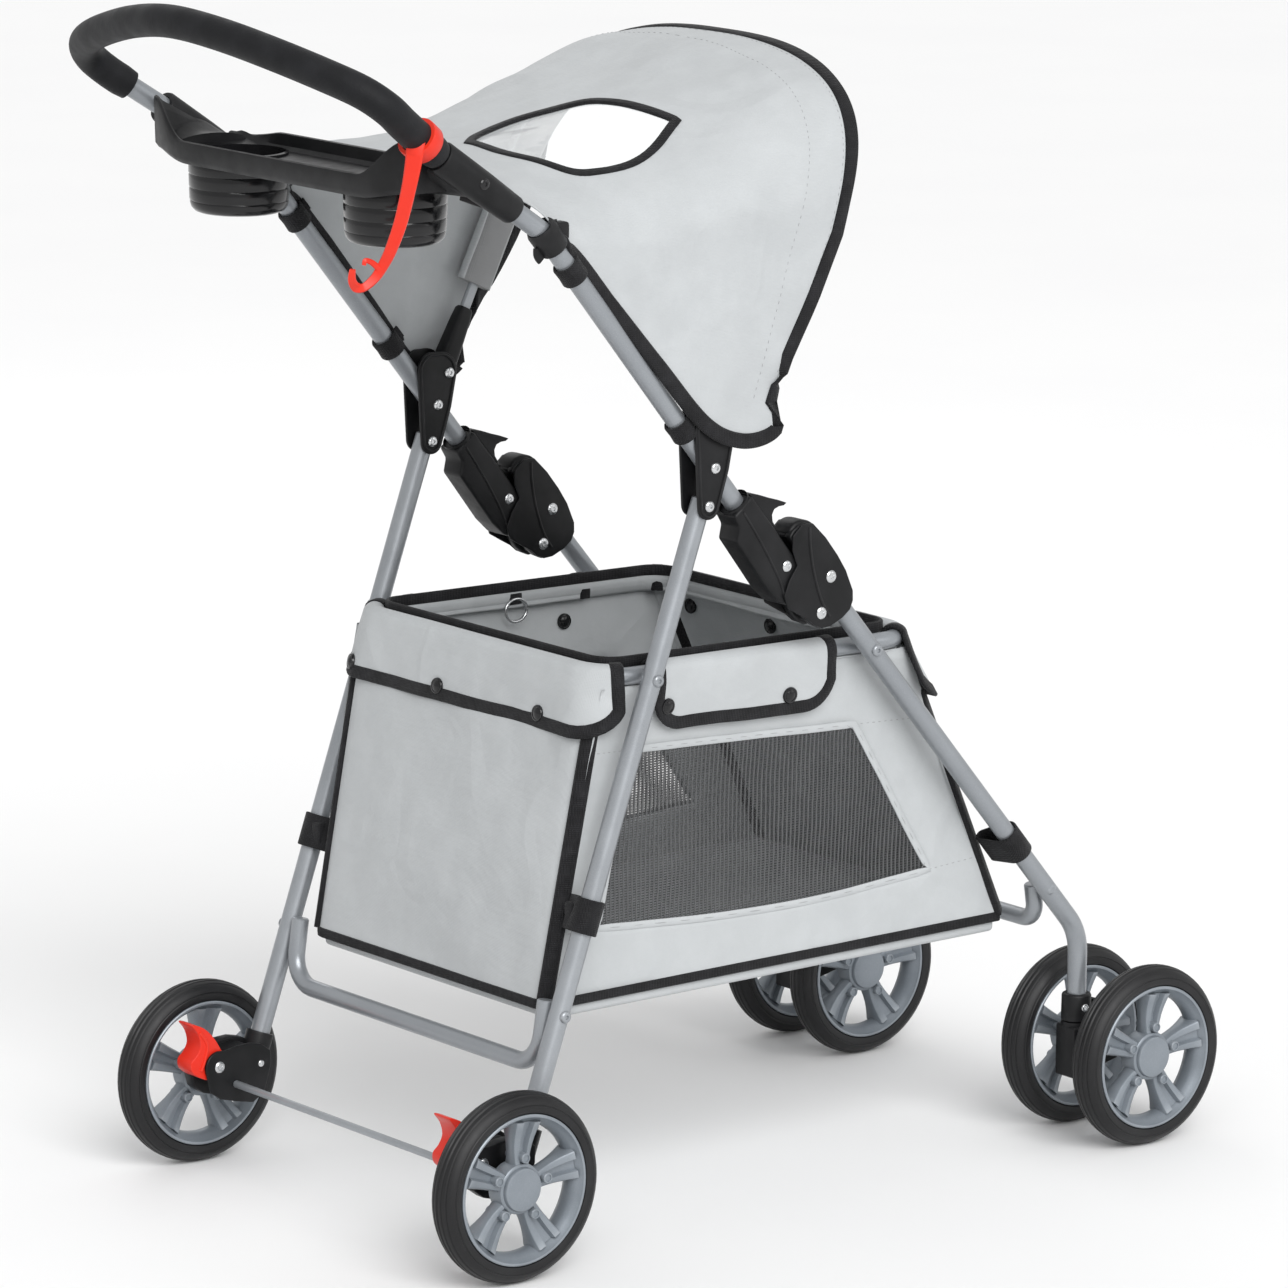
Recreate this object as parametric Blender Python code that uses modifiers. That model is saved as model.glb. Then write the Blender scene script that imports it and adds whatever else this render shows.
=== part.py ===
"""Folding pet stroller: tube frame, six wheels, basket, canopy and handle tray.

Metres, +Z up, +X is the direction of travel, +Y is the stroller's left.
The origin is on the floor below the middle of the whole object.
"""
import math

import bmesh
import bpy
from mathutils import Matrix, Vector

MM = 0.001

# ---- driving dimensions, in millimetres -------------------------------------------------
TUBE_R = 8.0                     # frame tubes, 16 mm across
TUBE_WALL = 1.3
CROSS_R = 7.0                    # cross tubes and basket rail, 14 mm across
TUBE_Y = 175.5                   # both handle tubes and all four legs lie in these planes
WHEEL_R = 75.0
TYRE_W = 27.0
RIM_R = 59.0
REAR_AXLE_X, FRONT_AXLE_X = -271.0, 373.0
REAR_WHEEL_Y = 208.5             # centre of a rear wheel
CASTER_Y = 178.0                 # swivel axis of a front caster
CASTER_X = 335.0
TWIN_GAP = 43.0                  # caster axis to the centre of each twin wheel
AXLE_R = 3.0

LEG_PIVOT = (-68.0, 575.3)       # rear leg top, in the bracket
BRACKET_RIVET = (-62.3, 604.7)   # bracket to handle tube
BOW_PIVOT = (-51.0, 630.0)       # canopy bow, in the bracket
LOCK_PIVOT = (44.0, 479.0)       # front leg hinge, in the fold lock
RAIL_REAR = (-115.0, 444.0)      # basket rail pivot on the rear leg
RAIL_FRONT = (107.8, 440.0)      # basket rail pivot on the front leg
HANDLE_ANGLE = math.radians(129.77)
REAR_LEG_SLOPE = 0.3525          # sideways run of the rear leg per unit of height
FRONT_LEG_SLOPE = 1.162          # drop of the front leg per unit of run
BOW_ANGLE = math.radians(64.2)

GAP = 0.3                        # clearance between touching pieces
SIDES = (("left", 1), ("right", -1))

COLOURS = {
    "silver": ((0.62, 0.64, 0.66), 0.38, 0.6),
    "black": ((0.025, 0.026, 0.028), 0.45, 0.0),
    "foam": ((0.05, 0.052, 0.055), 0.85, 0.0),
    "tyre": ((0.03, 0.03, 0.032), 0.8, 0.0),
    "rim": ((0.42, 0.44, 0.47), 0.35, 0.5),
    "fabric": ((0.62, 0.64, 0.65), 0.9, 0.0),
    "red": ((0.75, 0.05, 0.03), 0.4, 0.0),
    "steel": ((0.7, 0.7, 0.71), 0.3, 1.0),
}


# ---- scene set-up -----------------------------------------------------------------------
def start_scene():
    for item in list(bpy.data.objects):
        bpy.data.objects.remove(item, do_unlink=True)
    parts = bpy.data.collections.new("pet_stroller")
    cutters = bpy.data.collections.new("cutters")
    for collection in (parts, cutters):
        bpy.context.scene.collection.children.link(collection)
    return parts, cutters


PARTS, CUTTERS = start_scene()


def make_materials():
    made = {}
    for name, (colour, roughness, metallic) in COLOURS.items():
        material = bpy.data.materials.new(name)
        material.use_nodes = True
        shader = material.node_tree.nodes["Principled BSDF"]
        shader.inputs["Base Color"].default_value = (*colour, 1.0)
        shader.inputs["Roughness"].default_value = roughness
        shader.inputs["Metallic"].default_value = metallic
        made[name] = material
    return made


MATERIALS = make_materials()


# ---- shape helpers ----------------------------------------------------------------------
def place(obj, pivot):
    """Move an object's origin to a pivot (mm) and leave its shape where it is."""
    offset = Vector(pivot) * MM
    obj.data.transform(Matrix.Translation(-offset))
    obj.location = offset


def add(name, mesh, look, pivot=None, smooth=True):
    obj = bpy.data.objects.new(name, mesh)
    obj.data.materials.clear()
    obj.data.materials.append(MATERIALS[look])
    if smooth:
        mesh.shade_smooth()
        mesh.set_sharp_from_angle(angle=math.radians(35))
    PARTS.objects.link(obj)
    if pivot:
        place(obj, pivot)
    return obj


def curve_to_mesh(curve, matrix=Matrix.Identity(4)):
    """Evaluate a curve object, weld its caps and return a plain mesh in millimetre units."""
    holder = bpy.data.objects.new("curve_holder", curve)
    CUTTERS.objects.link(holder)
    bpy.context.view_layer.update()
    evaluated = holder.evaluated_get(bpy.context.evaluated_depsgraph_get())
    mesh = bpy.data.meshes.new_from_object(evaluated)
    bpy.data.objects.remove(holder, do_unlink=True)
    shape = bmesh.new()
    shape.from_mesh(mesh)
    bmesh.ops.remove_doubles(shape, verts=shape.verts, dist=0.0001)
    bmesh.ops.recalc_face_normals(shape, faces=shape.faces)
    shape.to_mesh(mesh)
    shape.free()
    mesh.transform(Matrix.Scale(MM, 4) @ matrix)
    return mesh


def rounded(points, radius, steps=4):
    """Replace each inner corner of a path by an arc of the given radius."""
    points = [Vector(p) for p in points]
    path = [points[0]]
    for before, corner, after in zip(points, points[1:], points[2:]):
        a = (before - corner).normalized()
        b = (after - corner).normalized()
        half = a.angle(b) / 2
        reach = min(radius / math.tan(half), (before - corner).length * 0.49,
                    (after - corner).length * 0.49)
        centre = corner + (a + b).normalized() * reach / math.cos(half)
        start, end = corner + a * reach - centre, corner + b * reach - centre
        sweep = start.angle(end)
        for step in range(steps + 1):
            t = step / steps
            blend = start * math.sin((1 - t) * sweep) + end * math.sin(t * sweep)
            path.append(centre + blend / math.sin(sweep))
    path.append(points[-1])
    return path


def tube_mesh(path, radius, capped, resolution=3):
    curve = bpy.data.curves.new("tube", "CURVE")
    curve.dimensions = "3D"
    curve.bevel_depth = radius
    curve.bevel_resolution = resolution
    curve.use_fill_caps = capped
    spline = curve.splines.new("POLY")
    spline.points.add(len(path) - 1)
    for point, position in zip(spline.points, path):
        point.co = (*position, 1.0)
    return curve_to_mesh(curve)


def hollow(obj, wall):
    shell = obj.modifiers.new("wall", "SOLIDIFY")
    shell.thickness = wall * MM
    shell.offset = -1.0
    return obj


def tube(name, path, radius=TUBE_R, wall=TUBE_WALL, look="silver", resolution=3):
    """An open tube with a real wall; its bore is open at both ends."""
    return hollow(add(name, tube_mesh(path, radius, False, resolution=resolution), look), wall)


def plate_mesh(outline, y_low, y_high, holes=()):
    """Extrude an X-Z outline (mm) between two Y planes; holes are (x, z, radius)."""
    curve = bpy.data.curves.new("plate", "CURVE")
    curve.dimensions = "2D"
    curve.fill_mode = "BOTH"
    curve.extrude = (y_high - y_low) / 2
    loops = [outline] + [circle(x, z, r, 12) for x, z, r in holes]
    for loop in loops:
        spline = curve.splines.new("POLY")
        spline.points.add(len(loop) - 1)
        for point, (x, z) in zip(spline.points, loop):
            point.co = (x, z, 0.0, 1.0)
        spline.use_cyclic_u = True
    upright = Matrix.Translation((0, (y_low + y_high) / 2, 0)) @ Matrix.Rotation(math.pi / 2, 4, "X")
    return curve_to_mesh(curve, upright)


def circle(x, z, radius, count=16, start=0.0, turn=2 * math.pi):
    steps = range(count if turn >= 2 * math.pi else count + 1)
    return [(x + radius * math.cos(start + turn * i / count),
             z + radius * math.sin(start + turn * i / count)) for i in steps]


def hull_outline(circles, count=28):
    """Outline round a set of circles (x, z, radius), as a belt would run."""
    outline = []
    for i in range(count):
        angle = 2 * math.pi * i / count
        direction = Vector((math.cos(angle), math.sin(angle)))
        best = max(circles, key=lambda c: Vector(c[:2]).dot(direction) + c[2])
        point = Vector(best[:2]) + direction * best[2]
        if not outline or (point - Vector(outline[-1])).length > 0.5:
            outline.append(tuple(point))
    return outline


def cylinder_mesh(centre, axis, radius, length, count=16):
    """A capped cylinder centred on a point (mm)."""
    shape = bmesh.new()
    turn = Vector((0, 0, 1)).rotation_difference(Vector(axis)).to_matrix().to_4x4()
    bmesh.ops.create_cone(shape, cap_ends=True, cap_tris=False, segments=count,
                          radius1=radius, radius2=radius, depth=length,
                          matrix=Matrix.Translation(Vector(centre)) @ turn)
    mesh = bpy.data.meshes.new("cylinder")
    shape.to_mesh(mesh)
    shape.free()
    mesh.transform(Matrix.Scale(MM, 4))
    return mesh


def box_mesh(low, high):
    shape = bmesh.new()
    low, high = Vector(low), Vector(high)
    size = Matrix.Diagonal((*(high - low), 1.0))
    bmesh.ops.create_cube(shape, size=1.0, matrix=Matrix.Translation((low + high) / 2) @ size)
    mesh = bpy.data.meshes.new("box")
    shape.to_mesh(mesh)
    shape.free()
    mesh.transform(Matrix.Scale(MM, 4))
    return mesh


def boolean(obj, mesh, operation="DIFFERENCE"):
    """Cut or join with a hidden helper mesh given in the world frame."""
    helper = bpy.data.objects.new("cutter", mesh)
    helper.hide_render = True
    helper.display_type = "WIRE"
    CUTTERS.objects.link(helper)
    step = obj.modifiers.new(operation.lower(), "BOOLEAN")
    step.object = helper
    step.operation = operation
    step.solver = "EXACT"
    return obj


def turned(name, profile, look, centre, steps=32, copies_mesh=None):
    """Turn a closed (radius, offset along Y) profile about the Y axis through a centre."""
    if copies_mesh is None:
        shape = bmesh.new()
        verts = [shape.verts.new((r * MM, y * MM, 0)) for r, y in profile]
        for a, b in zip(verts, verts[1:] + verts[:1]):
            shape.edges.new((a, b))
        copies_mesh = bpy.data.meshes.new(name)
        shape.to_mesh(copies_mesh)
        shape.free()
    obj = bpy.data.objects.new(name, copies_mesh)
    obj.location = Vector(centre) * MM
    PARTS.objects.link(obj)
    if not copies_mesh.materials:
        copies_mesh.materials.append(MATERIALS[look])
    screw = obj.modifiers.new("turn", "SCREW")
    screw.axis = "Y"
    screw.steps = screw.render_steps = steps
    screw.use_merge_vertices = True
    screw.merge_threshold = 0.0001
    screw.use_smooth_shade = True
    return obj


def at(point, y):
    """An (x, z) pair and a Y value as one position."""
    return (point[0], y, point[1])


def lock_point(along, across):
    """Fold-lock coordinates: along the handle tube from the hinge, and across it to the front."""
    c, s = math.cos(HANDLE_ANGLE), math.sin(HANDLE_ANGLE)
    return (LOCK_PIVOT[0] + along * c + across * s, LOCK_PIVOT[1] + along * s - across * c)


# ---- wheels -----------------------------------------------------------------------------
def tyre_profile():
    half = TYRE_W / 2
    crown = [(WHEEL_R - 10 * (1 - math.cos(t)), half * math.sin(t))
             for t in (math.radians(a) for a in (68, 40, 14, -14, -40, -68))]
    seat = RIM_R + GAP
    return crown + [(seat, -half + 2.5), (seat, half - 2.5)]


def rim_mesh():
    """Rim hoop, hub and five spokes joined into one solid, about the origin."""
    hoop = [(RIM_R, -11.5), (RIM_R, 11.5), (RIM_R - 4, 13.0), (RIM_R - 7.5, 9.0),
            (RIM_R - 7.5, -9.0), (RIM_R - 4, -13.0)]
    shape = bmesh.new()
    steps = 30
    rings = [[shape.verts.new((r * math.cos(a), y, r * math.sin(a))) for r, y in hoop]
             for a in (2 * math.pi * i / steps for i in range(steps))]
    for ring, following in zip(rings, rings[1:] + rings[:1]):
        for k in range(len(hoop)):
            n = (k + 1) % len(hoop)
            shape.faces.new((ring[k], ring[n], following[n], following[k]))
    bmesh.ops.recalc_face_normals(shape, faces=shape.faces)
    mesh = bpy.data.meshes.new("rim")
    shape.to_mesh(mesh)
    shape.free()
    mesh.transform(Matrix.Scale(MM, 4))
    blank = bpy.data.objects.new("rim_blank", mesh)
    CUTTERS.objects.link(blank)
    boolean(blank, cylinder_mesh((0, 0, 0), (0, 1, 0), 17, 25, 20), "UNION")
    for i in range(5):
        spoke = box_mesh((10, -7, -9), (RIM_R - 4, 7, 9))
        spoke.transform(Matrix.Rotation(2 * math.pi * i / 5 + 0.3, 4, "Y"))
        boolean(blank, spoke, "UNION")
    boolean(blank, cylinder_mesh((0, 0, 0), (0, 1, 0), AXLE_R + 0.1, 40, 12))
    bpy.context.view_layer.update()
    solid = bpy.data.meshes.new_from_object(
        blank.evaluated_get(bpy.context.evaluated_depsgraph_get()))
    helpers = [m.object for m in blank.modifiers]
    for helper in helpers + [blank]:
        bpy.data.objects.remove(helper, do_unlink=True)
    solid.materials.clear()
    solid.materials.append(MATERIALS["rim"])
    return solid


def wheels():
    places = []
    for side, sign in SIDES:
        places.append((f"rear_{side}", REAR_AXLE_X, sign * REAR_WHEEL_Y))
        for twin, way in (("outer", 1), ("inner", -1)):
            y = sign * (CASTER_Y + way * TWIN_GAP)
            places.append((f"front_{side}_{twin}", FRONT_AXLE_X, y))
    rim = rim_mesh()
    tyre = None
    for label, x, y in places:
        centre = (x, y, WHEEL_R)
        made = turned(f"tyre_{label}", tyre_profile(), "tyre", centre, 32, tyre)
        tyre = made.data
        body = bpy.data.objects.new(f"rim_{label}", rim)
        body.location = Vector(centre) * MM
        PARTS.objects.link(body)


# ---- frame tubes ------------------------------------------------------------------------
def rear_leg_point(z):
    return (LEG_PIVOT[0] - (LEG_PIVOT[1] - z) * REAR_LEG_SLOPE, z)


def front_leg_point(x):
    return (x, RAIL_FRONT[1] - (x - RAIL_FRONT[0]) * FRONT_LEG_SLOPE)


def rear_legs():
    for side, sign in SIDES:
        y = sign * TUBE_Y
        tube(f"rear_leg_{side}", [at(rear_leg_point(580), y), at(rear_leg_point(84), y)])
    y = TUBE_Y - TUBE_R - CROSS_R - GAP * 2
    low = (-211, 149)
    path = rounded([(-203.5, y, 201), at(low, y), at(low, -y), (-203.5, -y, 201)], 26)
    tube("rear_cross_tube", path, CROSS_R, 1.2)


def front_legs():
    corner_z = front_leg_point(CASTER_X)[1]
    start = (LOCK_PIVOT[0] + 3, front_leg_point(LOCK_PIVOT[0] + 3)[1])
    for side, sign in SIDES:
        y = sign * TUBE_Y
        foot = sign * CASTER_Y
        knee = at(front_leg_point(RAIL_FRONT[0] + 20), y)
        path = [Vector(at(start, y))]
        path += rounded([knee, (CASTER_X, foot, corner_z), (CASTER_X, foot, 104)], 48, 5)
        tube(f"front_leg_{side}", path)
    y = TUBE_Y - TUBE_R - CROSS_R - GAP * 2
    path = rounded([(300, y, 218), (305, y, 186), (305, -y, 186), (300, -y, 218)], 26)
    tube("front_cross_tube", path, CROSS_R, 1.2)


SHOULDER = (-222.0, TUBE_Y, 798.6)       # bend above the canopy's rear edge
CLAMP_END = (-322.0, 177.5, 864.5)       # the tray clamps lie between the two


def handle_path(clear_ends):
    """Centre line of the handle from the left lock up, round the grip arch and down."""
    bottom = lock_point(clear_ends, 0)
    arch = [(-329, 179.2, 869.2), (-348, 184, 882), (-364, 188.5, 893), (-379, 190, 905),
            (-393, 178, 917), (-406, 150, 927.5), (-418, 108, 938.5), (-428, 62, 948), (-434, 18, 953.5)]
    left = rounded([at(bottom, TUBE_Y), SHOULDER, CLAMP_END], 60, 4)
    left += [Vector(p) for p in arch]
    right = [Vector((p.x, -p.y, p.z)) for p in reversed(left)]
    return left + right


def handle():
    path = handle_path(48)
    tube("handle_tube", path)
    grip = [p for p in path if p.z > (880 if p.y > 0 else 866)]
    hollow(add("foam_grip", tube_mesh(grip, 12.5, False, resolution=4), "foam"), 12.5 - 8.9)


def basket_rail():
    slope = (RAIL_FRONT[1] - RAIL_REAR[1]) / (RAIL_FRONT[0] - RAIL_REAR[0])
    y = TUBE_Y - TUBE_R - CROSS_R - 4.5

    def height(x):
        return RAIL_REAR[1] + (x - RAIL_REAR[0]) * slope

    corners = [(-148, y), (166, y), (166, -y), (-148, -y)]
    points = [(x, side, height(x)) for x, side in corners]
    seam = (Vector(points[0]) + Vector(points[3])) / 2
    half_seam = Vector((0, 0.5, 0))
    loop = rounded([seam + half_seam, *points, seam - half_seam], 30)
    tube("basket_rail", loop, CROSS_R, 1.2)


# ---- brackets and fold locks ------------------------------------------------------------
def brackets():
    outline = hull_outline([(*LEG_PIVOT, 10.5), (-64, 606, 16), (-60, 631, 17), (-68, 634, 14)])
    holes = [(*LEG_PIVOT, 2.6), (*BRACKET_RIVET, 2.6), (*BOW_PIVOT, 2.6)]
    for side, sign in SIDES:
        for layer, near, far in (("outer", TUBE_R + 0.4, TUBE_R + 3), ("inner", -TUBE_R - 3, -TUBE_R - 0.4)):
            low, high = sorted((sign * (TUBE_Y + near), sign * (TUBE_Y + far)))
            add(f"bracket_{layer}_{side}", plate_mesh(outline, low, high, holes), "black")


def lock_upper(side, sign):
    """Sleeve on the handle tube's lower end, with the tongue that carries the hinge pin."""
    y = sign * TUBE_Y
    body = [(122, -13), (122, 10.5), (46, 10.5), (28, -8), (27, -20), (50, -25), (107, -23.5), (112, -14)]
    tongue = [(60, -8), (60, 8), (10, 8)] + circle_lock(0, 0, 9.5, 20, 180) + [(10, -9)]
    made = add(f"lock_upper_{side}", plate_mesh([lock_point(*p) for p in body], y - 12.5, y + 12.5),
               "black")
    boolean(made, plate_mesh([lock_point(*p) for p in tongue], y - 4.5, y + 4.5), "UNION")
    axis = Vector((math.cos(HANDLE_ANGLE), 0, math.sin(HANDLE_ANGLE)))
    bore_centre = at(lock_point(90, 0), y)
    boolean(made, cylinder_mesh(bore_centre, axis, TUBE_R + 0.5, 86, 16))
    boolean(made, cylinder_mesh(at(LOCK_PIVOT, y), (0, 1, 0), 3.4, 40, 12))


def circle_lock(along, across, radius, first, sweep, count=8):
    """Arc points in lock coordinates, angles in degrees from the across axis."""
    arc = []
    for i in range(count + 1):
        t = math.radians(first + sweep * i / count)
        arc.append((along - radius * math.sin(t), across + radius * math.cos(t)))
    return arc


def lock_lower(side, sign):
    """Clevis housing on the front leg's upper end."""
    y = sign * TUBE_Y
    outline = [(75, 15.5), (77, 22), (71.5, 30.6), (63, 37), (54, 40.7), (43.5, 41.5), (8, 39.5),
               (-10, 34.5), (-17.5, 29), (-20, 22), (-19.6, 12.7), (-15.6, 0), (-10.5, -8),
               (-3, -11.5), (5, -13), (14, -12), (21, -9), (42.5, 12.5), (48, 15.5)]
    made = add(f"lock_lower_{side}", plate_mesh([lock_point(*p) for p in outline], y - 12.5, y + 12.5),
               "black")
    slot = [(70, 13.5), (-9, 13.5), (-30, 6), (-30, -30), (70, -30)]
    boolean(made, plate_mesh([lock_point(*p) for p in slot], y - 5.2, y + 5.2))
    low, high = front_leg_point(LOCK_PIVOT[0] + 1), front_leg_point(LOCK_PIVOT[0] + 60)
    run = Vector(at(high, y)) - Vector(at(low, y))
    centre = (Vector(at(low, y)) + Vector(at(high, y))) / 2
    boolean(made, cylinder_mesh(centre, run, TUBE_R + 0.5, run.length, 16))
    boolean(made, cylinder_mesh(at(LOCK_PIVOT, y), (0, 1, 0), 3.4, 40, 12))


def latch(side, sign):
    """Finger hook that slides up the handle tube to free the lock."""
    y = sign * TUBE_Y
    outline = [(82, 11.0), (121, 11.0), (120, 12.5), (105.2, 19.5), (91.7, 27.4), (97, 21),
               (95.8, 15.8), (90.5, 13.6), (82, 13.6)]
    made = add(f"latch_{side}", plate_mesh([lock_point(*p) for p in outline], y - 8, y + 8), "black")
    place(made, at(lock_point(82, 11), y))


def locks():
    for side, sign in SIDES:
        lock_upper(side, sign)
        lock_lower(side, sign)
        latch(side, sign)
        add(f"lock_pin_{side}", cylinder_mesh(at(LOCK_PIVOT, sign * TUBE_Y), (0, 1, 0), 3.0, 27, 12),
            "steel")


# ---- rear axle and brakes ---------------------------------------------------------------
PEDAL_PIVOT = (-287.0, 91.4)


def brakes():
    axle_end = REAR_WHEEL_Y + 11
    add("rear_axle", cylinder_mesh((REAR_AXLE_X, 0, WHEEL_R), (0, 1, 0), AXLE_R, 2 * axle_end, 12), "steel")
    outline = [(-284, 103), (-257, 107), (-236, 97), (-237, 84), (-243, 62), (-254, 56),
               (-286, 64), (-296, 72)] + circle(*PEDAL_PIVOT, 13.5, 6, math.radians(200), math.radians(-95))
    pedal = [(-323, 129), (-320, 118), (-314, 108), (-324, 101), (-326, 92), (-309, 80.5), (-296, 79)] \
        + circle(*PEDAL_PIVOT, 10, 9, math.radians(-100), math.radians(190)) \
        + [(-293, 113), (-301, 121), (-311, 127)]
    for side, sign in SIDES:
        low, high = sorted((sign * 155, sign * 190.5))
        slot_low, slot_high = sorted((sign * 158, sign * 179.5))
        made = add(f"brake_housing_{side}", plate_mesh(outline, low, high), "black")
        sleeve_low, sleeve_high = (Vector(at(rear_leg_point(z), sign * TUBE_Y)) for z in (70, 108))
        run = sleeve_high - sleeve_low
        boolean(made, cylinder_mesh((sleeve_low + sleeve_high) / 2, run, 11, run.length, 20), "UNION")
        slot = [(-284, 75), (-277, 82), (-275, 92), (-275, 140), (-335, 140), (-335, 70), (-293, 70)]
        boolean(made, plate_mesh(slot, slot_low, slot_high))
        top, bottom = rear_leg_point(120), rear_leg_point(78)
        y = sign * TUBE_Y
        run = Vector(at(top, y)) - Vector(at(bottom, y))
        middle = (Vector(at(top, y)) + Vector(at(bottom, y))) / 2
        boolean(made, cylinder_mesh(middle, run, TUBE_R + 0.5, run.length, 16))
        boolean(made, cylinder_mesh((REAR_AXLE_X, y, WHEEL_R), (0, 1, 0), AXLE_R + 0.4, 90, 12))
        boolean(made, cylinder_mesh(at(PEDAL_PIVOT, y), (0, 1, 0), 2.9, 90, 12))
        foot = add(f"brake_pedal_{side}",
                   plate_mesh(pedal, slot_low + 0.7, slot_high - 0.7, [(*PEDAL_PIVOT, 2.9)]), "red")
        place(foot, at(PEDAL_PIVOT, sign * 169))
        add(f"brake_pin_{side}", cylinder_mesh(at(PEDAL_PIVOT, sign * 172), (0, 1, 0), 2.5, 38, 12), "steel")


# ---- casters ----------------------------------------------------------------------------
def casters():
    for side, sign in SIDES:
        y = sign * CASTER_Y
        collar = add(f"caster_collar_{side}",
                     cylinder_mesh((CASTER_X, y, 112.0), (0, 0, 1), 12.5, 20, 20), "black")
        boolean(collar, cylinder_mesh((CASTER_X, y, 112.5), (0, 0, 1), TUBE_R + 0.6, 40, 16))
        hub = add(f"caster_fork_{side}",
                  cylinder_mesh((CASTER_X, y, 77.5), (0, 0, 1), 12.5, 46, 20), "black")
        arm = hull_outline([(CASTER_X + 2, 82, 9), (FRONT_AXLE_X, WHEEL_R, 11), (CASTER_X + 2, 65, 9)])
        boolean(hub, plate_mesh(arm, y - 9, y + 9), "UNION")
        boolean(hub, cylinder_mesh((FRONT_AXLE_X, y, WHEEL_R), (0, 1, 0), AXLE_R + 0.3, 60, 12))
        place(hub, (CASTER_X, y, 0))
        length = 2 * (TWIN_GAP + 11)
        axle = add(f"caster_axle_{side}",
                   cylinder_mesh((FRONT_AXLE_X, y, WHEEL_R), (0, 1, 0), AXLE_R, length, 12), "steel")
        place(axle, (CASTER_X, y, 0))
        lever = add(f"swivel_lock_{side}", box_mesh((349, y - 6, 108), (363, y + 6, 118)), "black")
        bevel = lever.modifiers.new("round", "BEVEL")
        bevel.width = 0.002
        bevel.segments = 1
        place(lever, (350, y, 113))


# ---- handle tray ------------------------------------------------------------------------
CUP_X, CUP_Y, CUP_TOP, CUP_R = -304.0, 100.0, 828.0, 39.0


def tray():
    """Flat tray with two round holes; a cup hangs in each, and a clamp holds each end."""
    half_x, half_y, corner = 47, 150, 22
    outline = []
    for cx, cy, first in ((1, 1, 0), (-1, 1, 90), (-1, -1, 180), (1, -1, 270)):
        arc = circle(CUP_X + cx * (half_x - corner), cy * (half_y - corner), corner, 4,
                     math.radians(first), math.radians(90))
        outline += arc
    holes = [(CUP_X, sign * CUP_Y, CUP_R - 4) for _, sign in SIDES]
    curve = bpy.data.curves.new("tray", "CURVE")
    curve.dimensions = "2D"
    curve.fill_mode = "BOTH"
    curve.extrude = 6.5
    for loop in [outline] + [circle(x, y, r, 24) for x, y, r in holes]:
        spline = curve.splines.new("POLY")
        spline.points.add(len(loop) - 1)
        for point, (x, y) in zip(spline.points, loop):
            point.co = (x, y, 0.0, 1.0)
        spline.use_cyclic_u = True
    add("cup_tray", curve_to_mesh(curve, Matrix.Translation((0, 0, CUP_TOP + GAP + 6.5))), "black")
    for side, sign in SIDES:
        cup(side, sign)
        tray_clamp(side, sign)


def cup(side, sign):
    profile = [(CUP_R - 3.0, 0.0), (CUP_R, 0.0), (CUP_R - 0.3, -40.0), (CUP_R - 5, -46.0), (0.0, -46.0),
               (0.0, -43.0), (CUP_R - 7, -43.0), (CUP_R - 3.2, -38.0)]
    shape = bmesh.new()
    steps = 24
    rings = []
    for i in range(steps):
        a = 2 * math.pi * i / steps
        rings.append([shape.verts.new((CUP_X + r * math.cos(a), sign * CUP_Y + r * math.sin(a), CUP_TOP + z))
                      for r, z in profile])
    for ring, following in zip(rings, rings[1:] + rings[:1]):
        for k in range(len(profile)):
            n = (k + 1) % len(profile)
            shape.faces.new((ring[k], ring[n], following[n], following[k]))
    bmesh.ops.remove_doubles(shape, verts=shape.verts, dist=0.001)
    bmesh.ops.dissolve_degenerate(shape, dist=0.001, edges=shape.edges)
    bmesh.ops.recalc_face_normals(shape, faces=shape.faces)
    mesh = bpy.data.meshes.new("cup")
    shape.to_mesh(mesh)
    shape.free()
    mesh.transform(Matrix.Scale(MM, 4))
    add(f"cup_{side}", mesh, "black")


def tray_clamp(side, sign):
    start, end = Vector(SHOULDER), Vector(CLAMP_END)
    start.y, end.y = sign * start.y, sign * end.y
    low, high = start.lerp(end, 0.32), end
    run = high - low
    made = add(f"tray_clamp_{side}", cylinder_mesh((low + high) / 2, run, 12.0, run.length, 16), "black")
    lug_low, lug_high = sorted((sign * 151, sign * 168))
    lug = [(-330, 829), (-268, 822), (-262, 836), (-300, 862), (-326, 858)]
    boolean(made, plate_mesh(lug, lug_low, lug_high), "UNION")
    boolean(made, cylinder_mesh((low + high) / 2, run, TUBE_R + 0.9, run.length * 1.8, 16))


def hook_strap():
    """Moulded strap that is looped round the grip's right end and hangs with an open hook."""
    start = Vector((-352, -187, 884))
    path = rounded([start + Vector((2, -15.5, 4)), Vector((-358, -202, 868)), Vector((-371, -186, 822)),
                    Vector((-384, -168, 789)), Vector((-400, -163, 775)), Vector((-408, -165, 788))], 12, 3)
    add("hook_strap", tube_mesh(path, 3.2, True, resolution=2), "red")


# ---- canopy -----------------------------------------------------------------------------
def bow_point(reach, y):
    return (BOW_PIVOT[0] + reach * math.cos(BOW_ANGLE), y, BOW_PIVOT[1] + reach * math.sin(BOW_ANGLE))


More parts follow.
